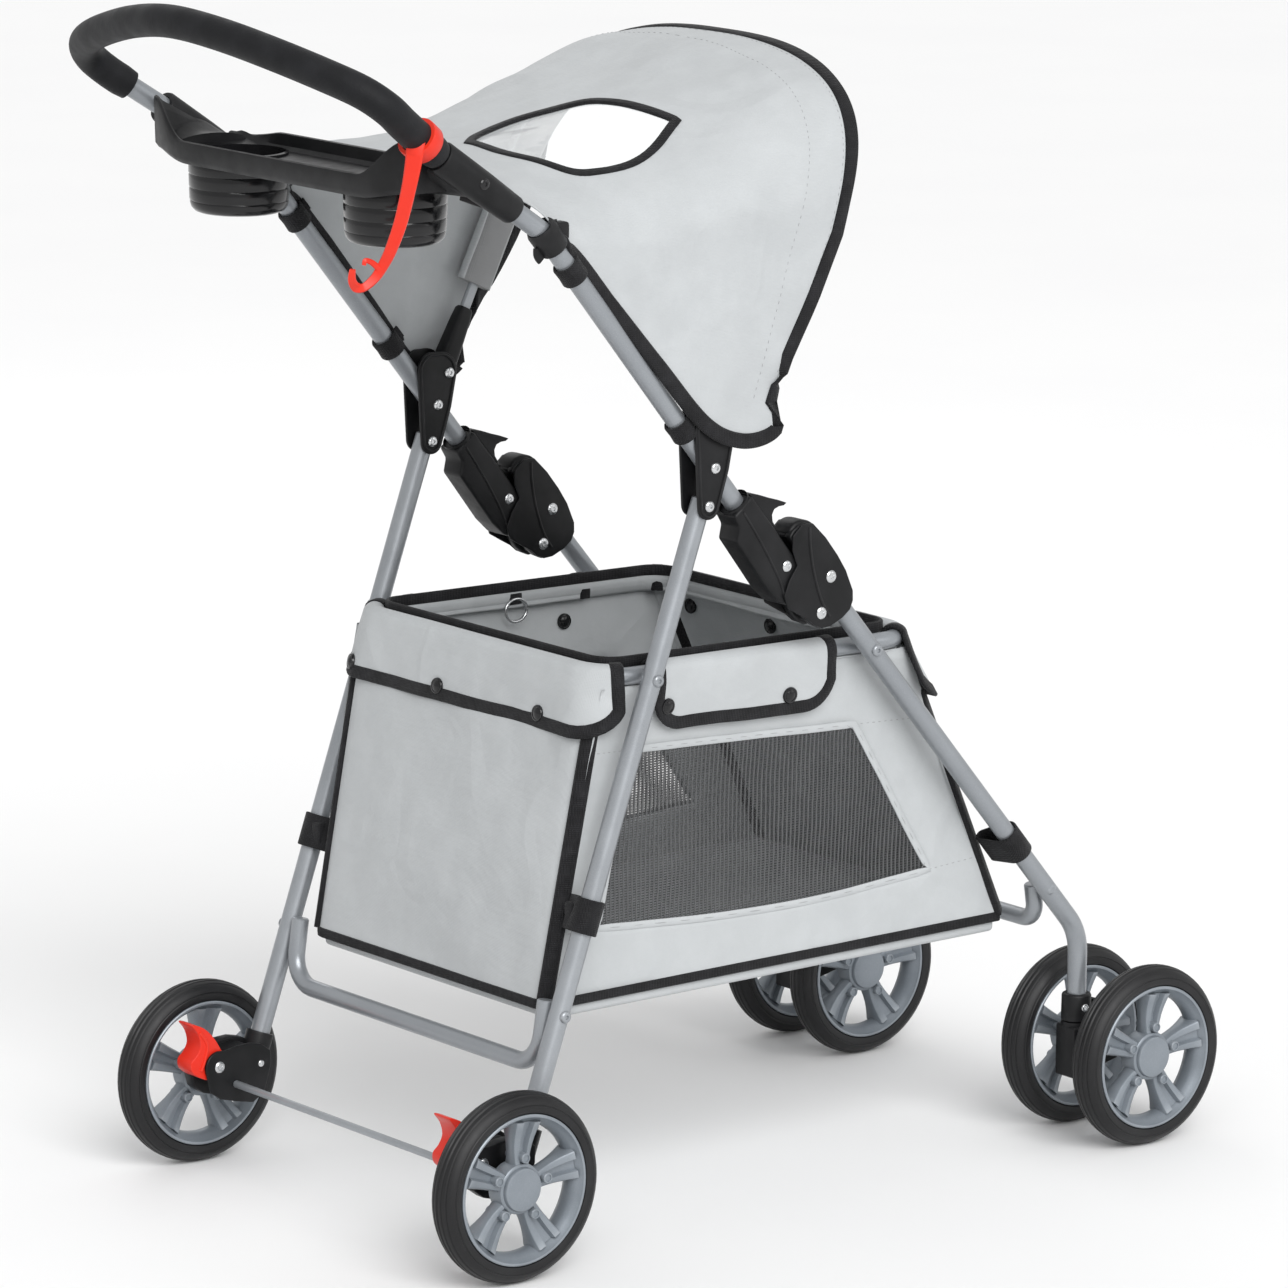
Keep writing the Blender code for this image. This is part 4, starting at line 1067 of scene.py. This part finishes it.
class Flap:
    """A cloth flap folded over the rail between two places, its lower corners rounded."""

    CORNER = 26.0

    def __init__(self, start, end, depth, seed, flare=0.0):
        self.start, self.end, self.depth, self.seed, self.flare = start, end, depth, seed, flare
        self.surface = Surface(self.point)

    def columns(self):
        length = self.end - self.start
        corner = [self.CORNER * (1 - math.cos(math.radians(a))) / length for a in range(0, 91, 10)]
        middle = spread(corner[-1], 1 - corner[-1], max(int(length / 7), 8))[1:-1]
        return corner + middle + [1 - c for c in reversed(corner)]

    def point(self, u, v):
        length = self.end - self.start
        centre, out = rail_at(self.start + u * length)
        edge = min(u, 1 - u) * length
        drop = self.depth
        if edge < self.CORNER:
            drop -= self.CORNER - math.sqrt(self.CORNER ** 2 - (self.CORNER - edge) ** 2)
        drop += ripple(centre, 60, 1.6, self.seed) * smooth(edge / 30)
        rear, front, side, turn = max(-out.x, 0) ** 2, max(out.x, 0) ** 2, out.y ** 2, abs(out.x * out.y)
        lean = rear * (12.0 + 0.14 * (drop - 10)) + side * (9.0 - 0.09 * (drop - 8))
        lean += front * (9.5 + 0.46 * (drop - 10)) + self.flare * smooth(drop / 50) + 16.0 * turn
        mid = 7.0 * turn + rear * (11.2 + 0.05 * drop) + side * 8.6 + front * (9.5 + 0.2 * drop)
        bend = ripple(centre + Vector((0, 0, 40 * v)), 42, 2.6, self.seed + 3) * smooth(v * 1.6 - 0.6)
        section = [(-8.9, -9), (-9.2, 0), (-6.6, 6.8), (0, 9.4), (6.6, 6.8), (9.3, 0), (mid, -drop * 0.45),
                   (lean, -drop)]
        spot = eased(section, v)
        sag = ripple(centre, 90, 1.3, self.seed + 9)
        return centre + out * (spot.x + bend) + Vector((0, 0, spot.y + sag * (1 - v)))

    def sheet(self, shape):
        shape.grid([[self.point(u, v) for u in self.columns()] for v in spread(0, 1, 30)])

    def binding(self, shape):
        """Tape along the two ends and the lower edge."""
        down = spread(0.0, 0.97, 26)
        along = [(min(max(u, 0.004), 0.996), 0.985) for u in self.columns()[1:-1]]
        track = [(0.004, v) for v in down] + along + [(0.996, v) for v in reversed(down)]
        self.surface.strip(shape, track, 10.5, 3.6)

    def snap(self, shape, u, v):
        normal = self.surface.normal(u, v)
        _, out = rail_at(self.start + u * (self.end - self.start))
        if normal.dot(out) < 0:
            normal.negate()
        snap_button(shape, self.point(u, v) + normal * 0.8, normal)


def snap_button(shape, centre, normal):
    dome = [(6.6, -0.8), (6.7, 0.8), (6.2, 1.7), (5.2, 2.0), (4.6, 1.7), (3.6, 2.3), (2.0, 2.9), (0.0, 3.1)]
    shape.lathe(dome, centre, normal, 24, capped=True)


# Start and end along the rail, depth, fold pattern and flare of each flap.
FLAPS = {
    "rear": Flap(-160, 160, 43, 1.0),
    "right": Flap(193, 368, 43, 2.0),
    "front": Flap(446, 754, 52, 3.0, 5.0),
    "left": Flap(832.5, 1007.5, 43, 4.0),
}


def depth_share(z):
    """How far down the wall a height lies, 0 at its top and 1 at its floor."""
    return (WALL_TOP - z) / (WALL_TOP - WALL_FLOOR)


def side_keys(z):
    """X of the rear corner, both window edges and the front corner at a height."""
    return [-155 - 43 * depth_share(z), -113 - 33 * (385 - z) / 139, 110 + 85 * (375 - z) / 129,
            172 + 106 * (430 - z) / 236]


def row_keys(x):
    """Z of the top, the window's two edges and the bottom at a place along the side."""
    sag = 11 * math.sin(math.pi * clamped((x + 150) / 400))
    return [rail_z(x) - 7.5, 385 - 10 * (x + 113) / 223, 247 - sag, WALL_FLOOR]


def between(keys, place):
    i = min(int(place), len(keys) - 2)
    return keys[i] + (keys[i + 1] - keys[i]) * (place - i)


def wall_spot(k, r):
    """X and Z of a side column k (0 to 3) and row r (0 to 3)."""
    x, z = 40.0, 300.0
    for _ in range(4):
        x = between(side_keys(z), k)
        z = between(row_keys(x), r)
    return x, z


def wall_half(z):
    return 158 - 8 * depth_share(z)


def belly(z):
    """0 at the top and bottom of the wall, 1 half-way down."""
    return math.sin(math.pi * clamped(depth_share(z)))


def wall_bend(z):
    """Radius of the basket's upright corners at a height."""
    return 26.0 - 14.0 * depth_share(z)


def folds(point, z, *waves):
    """Waves of the wall cloth, fading out at its top and bottom."""
    return sum(ripple(point, *wave) for wave in waves) * belly(z) ** 0.5


def side_column(k, sign):
    def point(r):
        x, z = wall_spot(k, r)
        y = wall_half(z) - 3.0 * belly(z) * math.sin(math.pi * k / 3)
        fold = folds((x, z, sign * 40), z, (80, 4.0, 5), (30, 1.6, 8))
        return Vector((x, sign * (y + fold * 0.8 - 0.6), z))
    return point


def corner_column(end, sign, degrees):
    """A column of the rounded corner; 0 degrees faces sideways and 90 faces the end."""
    a = math.radians(degrees)
    inward = 1 if end == 0 else -1

    def point(r):
        x, z = wall_spot(end, r)
        bend = wall_bend(z)
        return Vector((x + inward * bend - inward * bend * math.sin(a),
                       sign * (wall_half(z) - bend + bend * math.cos(a)), z))
    return point


def end_column(end, across):
    out = -1 if end == 0 else 1

    def point(r):
        x, z = wall_spot(end, r)
        y = across * (wall_half(z) - wall_bend(z))
        swell = 5.0 * belly(z) * (1 - across ** 2)
        fold = folds((y, z, end * 9), z, (80, 5.0, 6), (32, 1.9, 7))
        return Vector((x + out * (swell + fold * (1 - across ** 4)), y, z))
    return point


def wall_columns():
    """Columns round the basket from the rear left, and where each side's window lies."""
    columns, windows = [], []
    places = spread(0.12, 1.0, 6)[:-1] + spread(1.0, 2.0, 30) + spread(2.0, 2.9, 7)[1:]
    degrees = (90, 67, 45, 22)
    for end, sign in ((0, -1), (3, 1)):
        columns += [end_column(end, a) for a in spread(-sign, sign, 25)[1:-1]]
        columns += [corner_column(end, sign, d) for d in degrees]
        order = places if end == 0 else places[::-1]
        inner = [len(columns) + i for i, k in enumerate(order) if 1.0 <= k <= 2.0]
        windows.append((inner[0], inner[-1], sign))
        columns += [side_column(k, sign) for k in order]
        columns += [corner_column(3 - end, sign, d) for d in degrees[::-1]]
    return columns, windows


def in_basket(obj):
    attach(obj, "basket")
    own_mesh(obj)
    return obj


def basket_snaps():
    dots = Shape()
    across = (-96, 30, 138)
    spots = [("rear", (160 - y) / 320, 0.945) for y in across]
    spots += [("right", 0.05, 0.92), ("right", 0.76, 0.92), ("left", 0.95, 0.92), ("left", 0.24, 0.92)]
    spots += [("front", u, 0.9) for u in (0.2, 0.5, 0.8)]
    for name, u, v in spots:
        FLAPS[name].snap(dots, u, v)
    for x, z in ((61, 413), (-63, 418)):
        for sign in (1, -1):
            snap_button(dots, Vector((x, sign * (wall_half(z) - 2.4), z)), Vector((0, -sign, 0)))
    rear, front = side_keys(412)[0], side_keys(416)[3]
    for y in across:
        snap_button(dots, Vector((rear + 1.5, y, 412)), Vector((1, 0, 0)))
        snap_button(dots, Vector((front - 2.0, y * 0.95, 416)), Vector((-1, 0, 0)))
    return in_basket(built(dots, "basket_snaps", "gloss", 40))


def basket_binding(base, middle, rail):
    """Tape round the base, up the corners, along the flaps and on the collar's edge."""
    tape = Shape()
    outward = []
    for j, p in enumerate(base):
        side = (base[(j + 1) % len(base)] - base[j - 1]).cross(Vector((0, 0, 1))).normalized()
        outward.append(side if side.dot(p - middle) > 0 else -side)
    tape.sweep([p + Vector((0, 0, -1.5)) for p in base], flat_section(8.0, 3.4), outward, closed=True)
    for end in (0, 3):
        for sign in (1, -1):
            corner = corner_column(end, sign, 45)
            out = Vector((-1 if end == 0 else 1, sign, 0)).normalized()
            path = [corner(r) + out * 1.3 for r in spread(0.15, 2.98, 40)]
            tape.sweep(path, flat_section(13.0, 5.4), out)
    for flap in FLAPS.values():
        flap.binding(tape)
    reach, height = COLLAR[-1]
    edge = [c + out * reach + Vector((0, 0, height)) for c, out in rail]
    tape.sweep(edge, flat_section(9.0, 3.2), [out for _, out in rail], closed=True)
    return in_basket(built(tape, "basket_binding", "tape", 50))


def window_trim(grid, windows, top, low):
    """Edging round the side windows, and stitching round them and on to the corners."""
    sewn, edging = Shape(), Shape()
    for a, b, sign in windows:
        across, down = range(a, b + 1), range(top + 1, low)
        loop = [grid[top][j] for j in across] + [grid[i][b] for i in down]
        loop += [grid[low][j] for j in reversed(across)] + [grid[i][a] for i in reversed(down)]
        out = Vector((0, sign, 0))
        edging.sweep([p + out * 0.5 for p in loop], flat_section(6.0, 1.4), out, closed=True)
        seams = [[p + out * 0.6 for p in loop + loop[:1]]]
        for r in (1.0, 2.0):
            for span in ((0.14, 1.0), (2.0, 2.86)):
                seams.append([side_column(k, sign)(r) for k in spread(*span, 26)])
        for path in seams:
            stitches(sewn, path, [out] * len(path))
    return [in_basket(built(edging, "basket_window_edging", "cloth", 50)),
            in_basket(built(sewn, "basket_stitching", "thread", 60))]


def basket():
    columns, windows = wall_columns()
    rows = spread(0, 1, 7)[:-1] + spread(1, 2, 19)[:-1] + spread(2, 3, 8)
    grid = [[column(r) for column in columns] for r in rows]
    hole = [i for i, r in enumerate(rows) if 1.0 <= r < 2.0]
    top, low = hole[0], hole[-1] + 1

    def in_window(i, j):
        return i in hole and any(a <= j < b for a, b, _ in windows)

    shell = Shape().grid(grid, around=True, skip=in_window)
    base, middle = grid[-1], Vector((43, 0, 193.4))
    rings = [base] + [[middle + (p - middle) * f for p in base] for f in (0.985, 0.8, 0.5, 0.2)]
    for loop in rings[1:]:
        for p in loop:
            p.z = 193.0 + ripple(p, 70, 0.8, 2)
    shell.grid(rings, around=True)
    count = len(shell.verts)
    shell.faces.append(tuple(range(count - len(base), count)))
    for flap in FLAPS.values():
        flap.sheet(shell)
    rail = [rail_at(s) for s in spread(-600, 600, 181)[:-1]]
    shell.grid([[c + out * a + Vector((0, 0, h)) for c, out in rail] for a, h in COLLAR], around=True)
    tub = in_basket(cloth(shell, "basket_cloth", "cloth", 1.2))

    net = Shape()
    for a, b, _ in windows:
        net.grid([grid[i][a:b + 1] for i in range(top, low + 1)])
    netting_sheet = in_basket(cloth(net, "basket_netting", "net", 0.5))
    sewn_on = [basket_binding(base, middle, rail), basket_snaps(), *window_trim(grid, windows, top, low)]

    board = Shape().block((-190, -147, 179.5), (271, 147, 192.2), 4.0, None, 4)
    in_basket(built(board, "basket_base_board", "cloth", 60))
    tabs, hoops = Shape(), Shape()
    for sign in (1, -1):
        head = Vector((3, sign * 146.5, 449))
        tab = [head, head + Vector((0, -sign * 0.8, -7)), head + Vector((0, -sign * 0.4, -13))]
        tabs.sweep(tab, flat_section(13, 2.6), Vector((0, -sign, 0)))
        hoop = [(3 + x, sign * 144.5, 431 + z) for x, z in ring(11, 32, 9.5)]
        hoops.sweep(hoop, ring(1.3, 8), closed=True)
    in_basket(built(tabs, "ring_tabs", "tape", 50))
    in_basket(built(hoops, "tether_rings", "steel", 50))
    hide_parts("basket_fabric")
    bar = Shape().tube([c for c, _ in rail], CROSS_R, 28, closed=True)
    piece(bar, "basket_rail_bar", "silver", "basket", ["basket_rail"])


def mat():
    """Padded floor mat with a piped edge and two sewn channels."""
    (x0, y0), (x1, y1), z = (-180, -140), (260, 140), 202.6
    top, bottom = [], []
    for y in spread(y0, y1, 39):
        upper, lower = [], []
        for x in spread(x0, x1, 57):
            edge = min(x - x0, x1 - x, y - y0, y1 - y)
            crown = math.sqrt(max(1 - (1 - min(edge / 14, 1)) ** 2, 0))
            channel = max(0.0, 1 - min(abs(x + 35), abs(x - 115)) / 7)
            swell = 6.0 - 3.2 * channel + ripple((x, y, 0), 40, 0.7, 4)
            upper.append(Vector((x, y, z + swell * crown)))
            lower.append(Vector((x, y, z - 5.2 * crown)))
        top.append(upper)
        bottom.append(lower)
    pad = in_basket(built(Shape().grid(top).grid(bottom), "floor_cushion", "cloth", 60))
    edge = []
    for k, (cx, cy) in enumerate(((x1, y1), (x0, y1), (x0, y0), (x1, y0))):
        inset = Vector((cx - math.copysign(10, cx), cy - math.copysign(10, cy), z))
        for step in range(7):
            a = math.radians(90 * k + 15 * step)
            edge.append(inset + Vector((10 * math.cos(a), 10 * math.sin(a), 0)))
    in_basket(built(Shape().sweep(edge, ring(2.0, 10), closed=True), "floor_cushion_piping", "tape", 50))
    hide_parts("floor_mat")


def strap_band(shape, centre, way, inward, gap):
    """A webbing loop square to a leg, drawn out to the basket on its inner side."""
    across = Vector((way.z, 0, -way.x))
    outline = hull_outline([(0, 0, 10.6), (-gap, inward * 19.5, 5)], 40)
    path = [centre + across * a + Vector((0, b, 0)) for a, b in outline]
    normals = [(path[(i + 1) % len(path)] - path[i - 1]).cross(way).normalized() for i in range(len(path))]
    shape.sweep(path, flat_section(27, 1.8), normals, closed=True)


def leg_straps():
    for side, sign in SIDES:
        rear = [(rear_leg_x(z), sign * TUBE_Y, z) for z in (240, 292)]
        front = [(x, sign * TUBE_Y, front_leg_z(x)) for x in (282, 242)]
        for end, ends, gap in (("rear", rear, -3), ("front", front, 8)):
            foot, head = (Vector(p) for p in ends)
            middle = foot.lerp(head, 0.5)
            shape = Shape()
            strap_band(shape, middle, (head - foot).normalized(), -sign, gap)
            if end == "rear":
                buckle, half = middle + Vector((-4, -sign * 11.5, 0)), Vector((5, 5, 10))
                shape.block(buckle - half, buckle + half, 2.0)
            piece(shape, f"leg_strap_{end}_{side}", "tape", f"{end}_frame", sharp=50)


# ---- canopy ------------------------------------------------------------------------------
# X and Z of the canopy's lower edge and of its top, then the rise of its arch, rear to visor.
LOWS = [(-218, 806), (-200, 786), (-166, 745), (-117, 686), (-76, 637), (-44, 620), (-9, 612)]
TOPS = [(-250, 841), (-205, 846), (-148, 856), (-85, 871), (-20, 890), (40, 909), (92, 913)]
ARCHES = [(40, 0), (58, 0), (78, 0), (88, 0), (98, 0), (120, 0), (120, 0)]
# Share of the cloth's width that hangs down each side; offsets of the visor's edge by height.
LEG_SHARE = 0.17
VISOR_EDGE = [(612, -15), (617, -5), (630, 4), (653, -11), (683, -8), (727, 3), (778, 10), (827, 6),
              (913, 0)]
TUCK = [(560, -22), (640, -16), (700, 0), (760, 5), (800, 3), (850, 0)]


def canopy_point(u, v):
    """Canopy cloth: u runs from the left tube over the top to the right, v from rear to visor."""
    low, top = eased(LOWS, v), eased(TOPS, v)
    half = 178 + 11 * clamped((v - 0.35) / 0.35) + 3 * v
    low.y += 22 * (1 - math.sqrt(1 - clamped((v - 0.78) / 0.22) ** 2))
    run, arch = (top - low).length, eased(ARCHES, v).x
    square = 1.0 - 0.25 * clamped((v - 0.55) / 0.3)
    if LEG_SHARE <= u <= 1 - LEG_SHARE:
        t = math.pi * (u - LEG_SHARE) / (1 - 2 * LEG_SHARE)
        reach = run - arch + arch * max(math.sin(t), 0) ** square
        y = half * signed_power(math.cos(t), square)
    else:
        reach = (run - arch) * min(u, 1 - u) / LEG_SHARE
        y = math.copysign(half, 0.5 - u)
    x, z = low.lerp(top, reach / run)
    x += interpolate(VISOR_EDGE, z) * smooth((v - 0.8) / 0.2)
    if y > 0:
        x += interpolate(TUCK, z) * smooth((v - 0.7) / 0.3)
    held = smooth(min(v, 1 - v) / 0.12) * smooth(min(u, 1 - u) / 0.06)
    sway = (ripple((x, y, z), 90, 4.6, 11) + ripple((x, y, z), 34, 1.5, 12)) * held
    side = clamped(abs(y) / 180) ** 3
    inward = Vector((0.15, -math.copysign(side, y), side - 1)).normalized()
    return Vector((x, y, z)) + inward * (sway + 0.8)


CANOPY = Surface(canopy_point)
# Plan of the almond window between its two tips.
TIP_REAR, TIP_FRONT = (-183, -32), (-48, -118)
ALMOND_FAR = [TIP_REAR, (-160, -16), (-121, -13), (-76, -38), (-58, -86), TIP_FRONT]
ALMOND_NEAR = [TIP_REAR, (-183, -78), (-164, -122), (-136, -133), (-97, -135), TIP_FRONT]


def inside(outline, x, y):
    """True if a plan point lies inside a closed outline."""
    crossed = False
    for a, b in zip(outline, outline[1:] + outline[:1]):
        if (a.y > y) != (b.y > y) and x < (b.x - a.x) * (y - a.y) / (b.y - a.y) + a.x:
            crossed = not crossed
    return crossed


def canopy():
    leg = spread(0, LEG_SHARE, 16)[:-1]
    us = leg + spread(LEG_SHARE, 1 - LEG_SHARE, 116) + spread(1 - LEG_SHARE, 1, 16)[1:]
    grid = [[canopy_point(u, v) for u in us] for v in spread(0, 1, 84)]
    whole = Shape().grid(grid)
    tree = BVHTree.FromPolygons([tuple(v) for v in whole.verts], whole.faces)

    def drop(point):
        spot, normal, _, _ = tree.ray_cast(Vector((point.x, point.y, 1000)), Vector((0, 0, -1)))
        return spot, (normal if normal.z > 0 else -normal)

    far, near = (curve_through([(x, y, 0) for x, y in keys], 9) for keys in (ALMOND_FAR, ALMOND_NEAR))
    outline = far + near[-2:0:-1]

    def in_window(i, j):
        centre = (grid[i][j] + grid[i + 1][j + 1]) / 2
        return centre.z > 780 and inside(outline, centre.x, centre.y)

    sheet = cloth(Shape().grid(grid, skip=in_window), "canopy_cloth", "cloth", 1.2)
    film_rows = []
    for f in spread(0.0, 1.0, 15):
        film_rows.append([drop(a.lerp(b, f))[0] - Vector((0, 0, 0.6)) for a, b in zip(near, far)])
    film = cloth(Shape().grid(film_rows), "canopy_window_film", "film", 0.5)

    edge, normals = zip(*(drop(p) for p in outline))
    path = [p + n * 0.4 for p, n in zip(edge, normals)]
    tape = Shape().sweep(path, flat_section(7.8, 3.4), list(normals), closed=True)
    side = spread(0.0, 0.75, 60) + spread(0.755, 0.99, 30)
    front = [(u, 0.994) for u in us if 0.012 < u < 0.988]
    CANOPY.strip(tape, [(0.004, v) for v in side] + front + [(0.996, v) for v in side[::-1]], 12.0, 4.6)
    binding = built(tape, "canopy_binding", "tape", 50)
    sewn = Shape()
    for v in (0.86, 0.955):
        track = [(u, v) for u in spread(0.03, 0.97, 330)]
        stitches(sewn, [canopy_point(*p) for p in track], [CANOPY.normal(*p) for p in track])
    stitching = built(sewn, "canopy_stitching", "thread", 60)

    for obj in (sheet, film, binding, stitching):
        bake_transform(obj)
    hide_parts("canopy_fabric")


def canopy_pocket():
    """The darker pocket that holds the bow, with a pale hem along each edge."""
    arch = [p for p in bow_path() if p.z > 705]
    foot = (698 - BOW_PIVOT[1]) / math.sin(BOW_ANGLE)
    rise = (arch[0] - bow_point(foot, arch[0].y)).length
    left, right = ([bow_point(foot + rise * f, y) for f in spread(0, 0.9, 8)] for y in (TUBE_Y, -TUBE_Y))
    path = left + arch + right[::-1]
    pocket = Shape().sweep(path, flat_section(15.0, 30.0), BOW_FRONT,
                           scale=lambda t: 1.0 + 0.02 * math.sin(90 * t))
    piece(pocket, "canopy_bow_pocket", "pocket", "canopy", sharp=60)
    hems = Shape()
    for edge in (-14, 14):
        hems.sweep([p + BOW_FRONT * edge for p in path], flat_section(8.2, 3.0), BOW_FRONT)
    piece(hems, "canopy_pocket_hems", "cloth", "canopy", sharp=60)


def handle_spot(z, y):
    """Centre of the straight handle tube at a height."""
    return at(LOCK_PIVOT, y) + HANDLE_WAY * ((z - LOCK_PIVOT[1]) / math.sin(HANDLE_ANGLE))


def canopy_ties():
    """Webbing wraps and moulded clips that hold the canopy's edges to the handle."""
    wrap = [(8.4, -8), (10.3, -8.4), (11.0, -7), (10.6, 0), (11.0, 7), (10.3, 8.4), (8.4, 8)]
    clip = [(8.5, -11), (11.2, -11), (12.2, -9), (12.4, 8), (11.2, 11), (8.5, 11)]
    front, way, across = HANDLE_FRONT, HANDLE_WAY, Vector((0, 1, 0))
    for side, sign in SIDES:
        wraps, clips = Shape(), Shape()
        for z in (768, 637 if sign < 0 else 657):
            spot = handle_spot(z, sign * TUBE_Y)
            wraps.lathe(wrap, spot, way, 28)
            tongue = [spot + front * 8 - way * 6, spot + front * 11, spot + front * 15]
            wraps.sweep(tongue, flat_section(12, 2.6), across)
        spot = flip(SHOULDER, sign) - way * 5
        clips.lathe(clip, spot, way, 28)
        clips.block((-7, -6, -7), (7, 6, 7), 2.6, Matrix.Translation(spot + front * 11 - way * 3))
        lever = [spot - front * 11, spot - front * 14 - way * 4, spot - front * 14 - way * 9]
        clips.sweep(curve_through(lever, 5), flat_section(9, 3.0), across)
        piece(wraps, f"canopy_wraps_{side}", "tape", "handle", sharp=50)
        piece(clips, f"canopy_clip_{side}", "black", "handle", sharp=40)


# ---- stage -------------------------------------------------------------------------------
def add_lamp(name, kind, power, way, spot=(0, 0, 0), **settings):
    data = bpy.data.lights.new(name, kind)
    for setting, value in {"energy": power, **settings}.items():
        setattr(data, setting, value)
    lamp = in_scene(bpy.data.objects.new(name, data))
    lamp.location = spot
    lamp.rotation_euler = way.to_track_quat("-Z", "Y").to_euler()


def stage():
    """Pale seamless floor, a bright surround, three soft lamps and a hazy sun."""
    rows = [[(x, y, 0) for x, y in ring(radius * 1000, 64)] for radius in (0.0, 1.5, 4.0, 9.0, 20.0, 40.0)]
    look = Look("pale_floor", (0.86, 0.86, 0.86), 0.75).drift((0.84, 0.84, 0.845), 2.0, 0.5)
    mesh = Shape().grid(rows, around=True).mesh("floor")
    mesh.materials.append(look.grain(40.0, 0.0001).done())
    in_scene(bpy.data.objects.new("floor", mesh))

    world = bpy.data.worlds.new("surround")
    bpy.context.scene.world = world
    world.use_nodes = True
    background = world.node_tree.nodes["Background"]
    background.inputs["Color"].default_value = (1.0, 1.0, 1.0, 1.0)
    background.inputs["Strength"].default_value = 0.7
    lamps = (("key", (-2.6, -2.2, 3.0), 1.4, 16.0), ("fill", (2.4, -2.8, 1.8), 1.6, 9.0),
             ("back", (1.2, 3.0, 2.6), 1.6, 9.0))
    for name, spot, size, power in lamps:
        add_lamp(name, "AREA", power, Vector((0, 0, 0.5)) - Vector(spot), spot, size=size)
    add_lamp("sun", "SUN", 2.3, Vector((0.26, 0.82, -0.62)), angle=math.radians(40))
    bpy.context.scene.view_settings.view_transform = "Standard"


# ---- build -------------------------------------------------------------------------------
add_camera()
wheels()
frame_tubes()
foam_grip()
brackets()
canopy_bow()
fold_locks()
brakes()
casters()
tray()
hook_strap()
basket()
mat()
leg_straps()
canopy()
canopy_pocket()
canopy_ties()
stage()
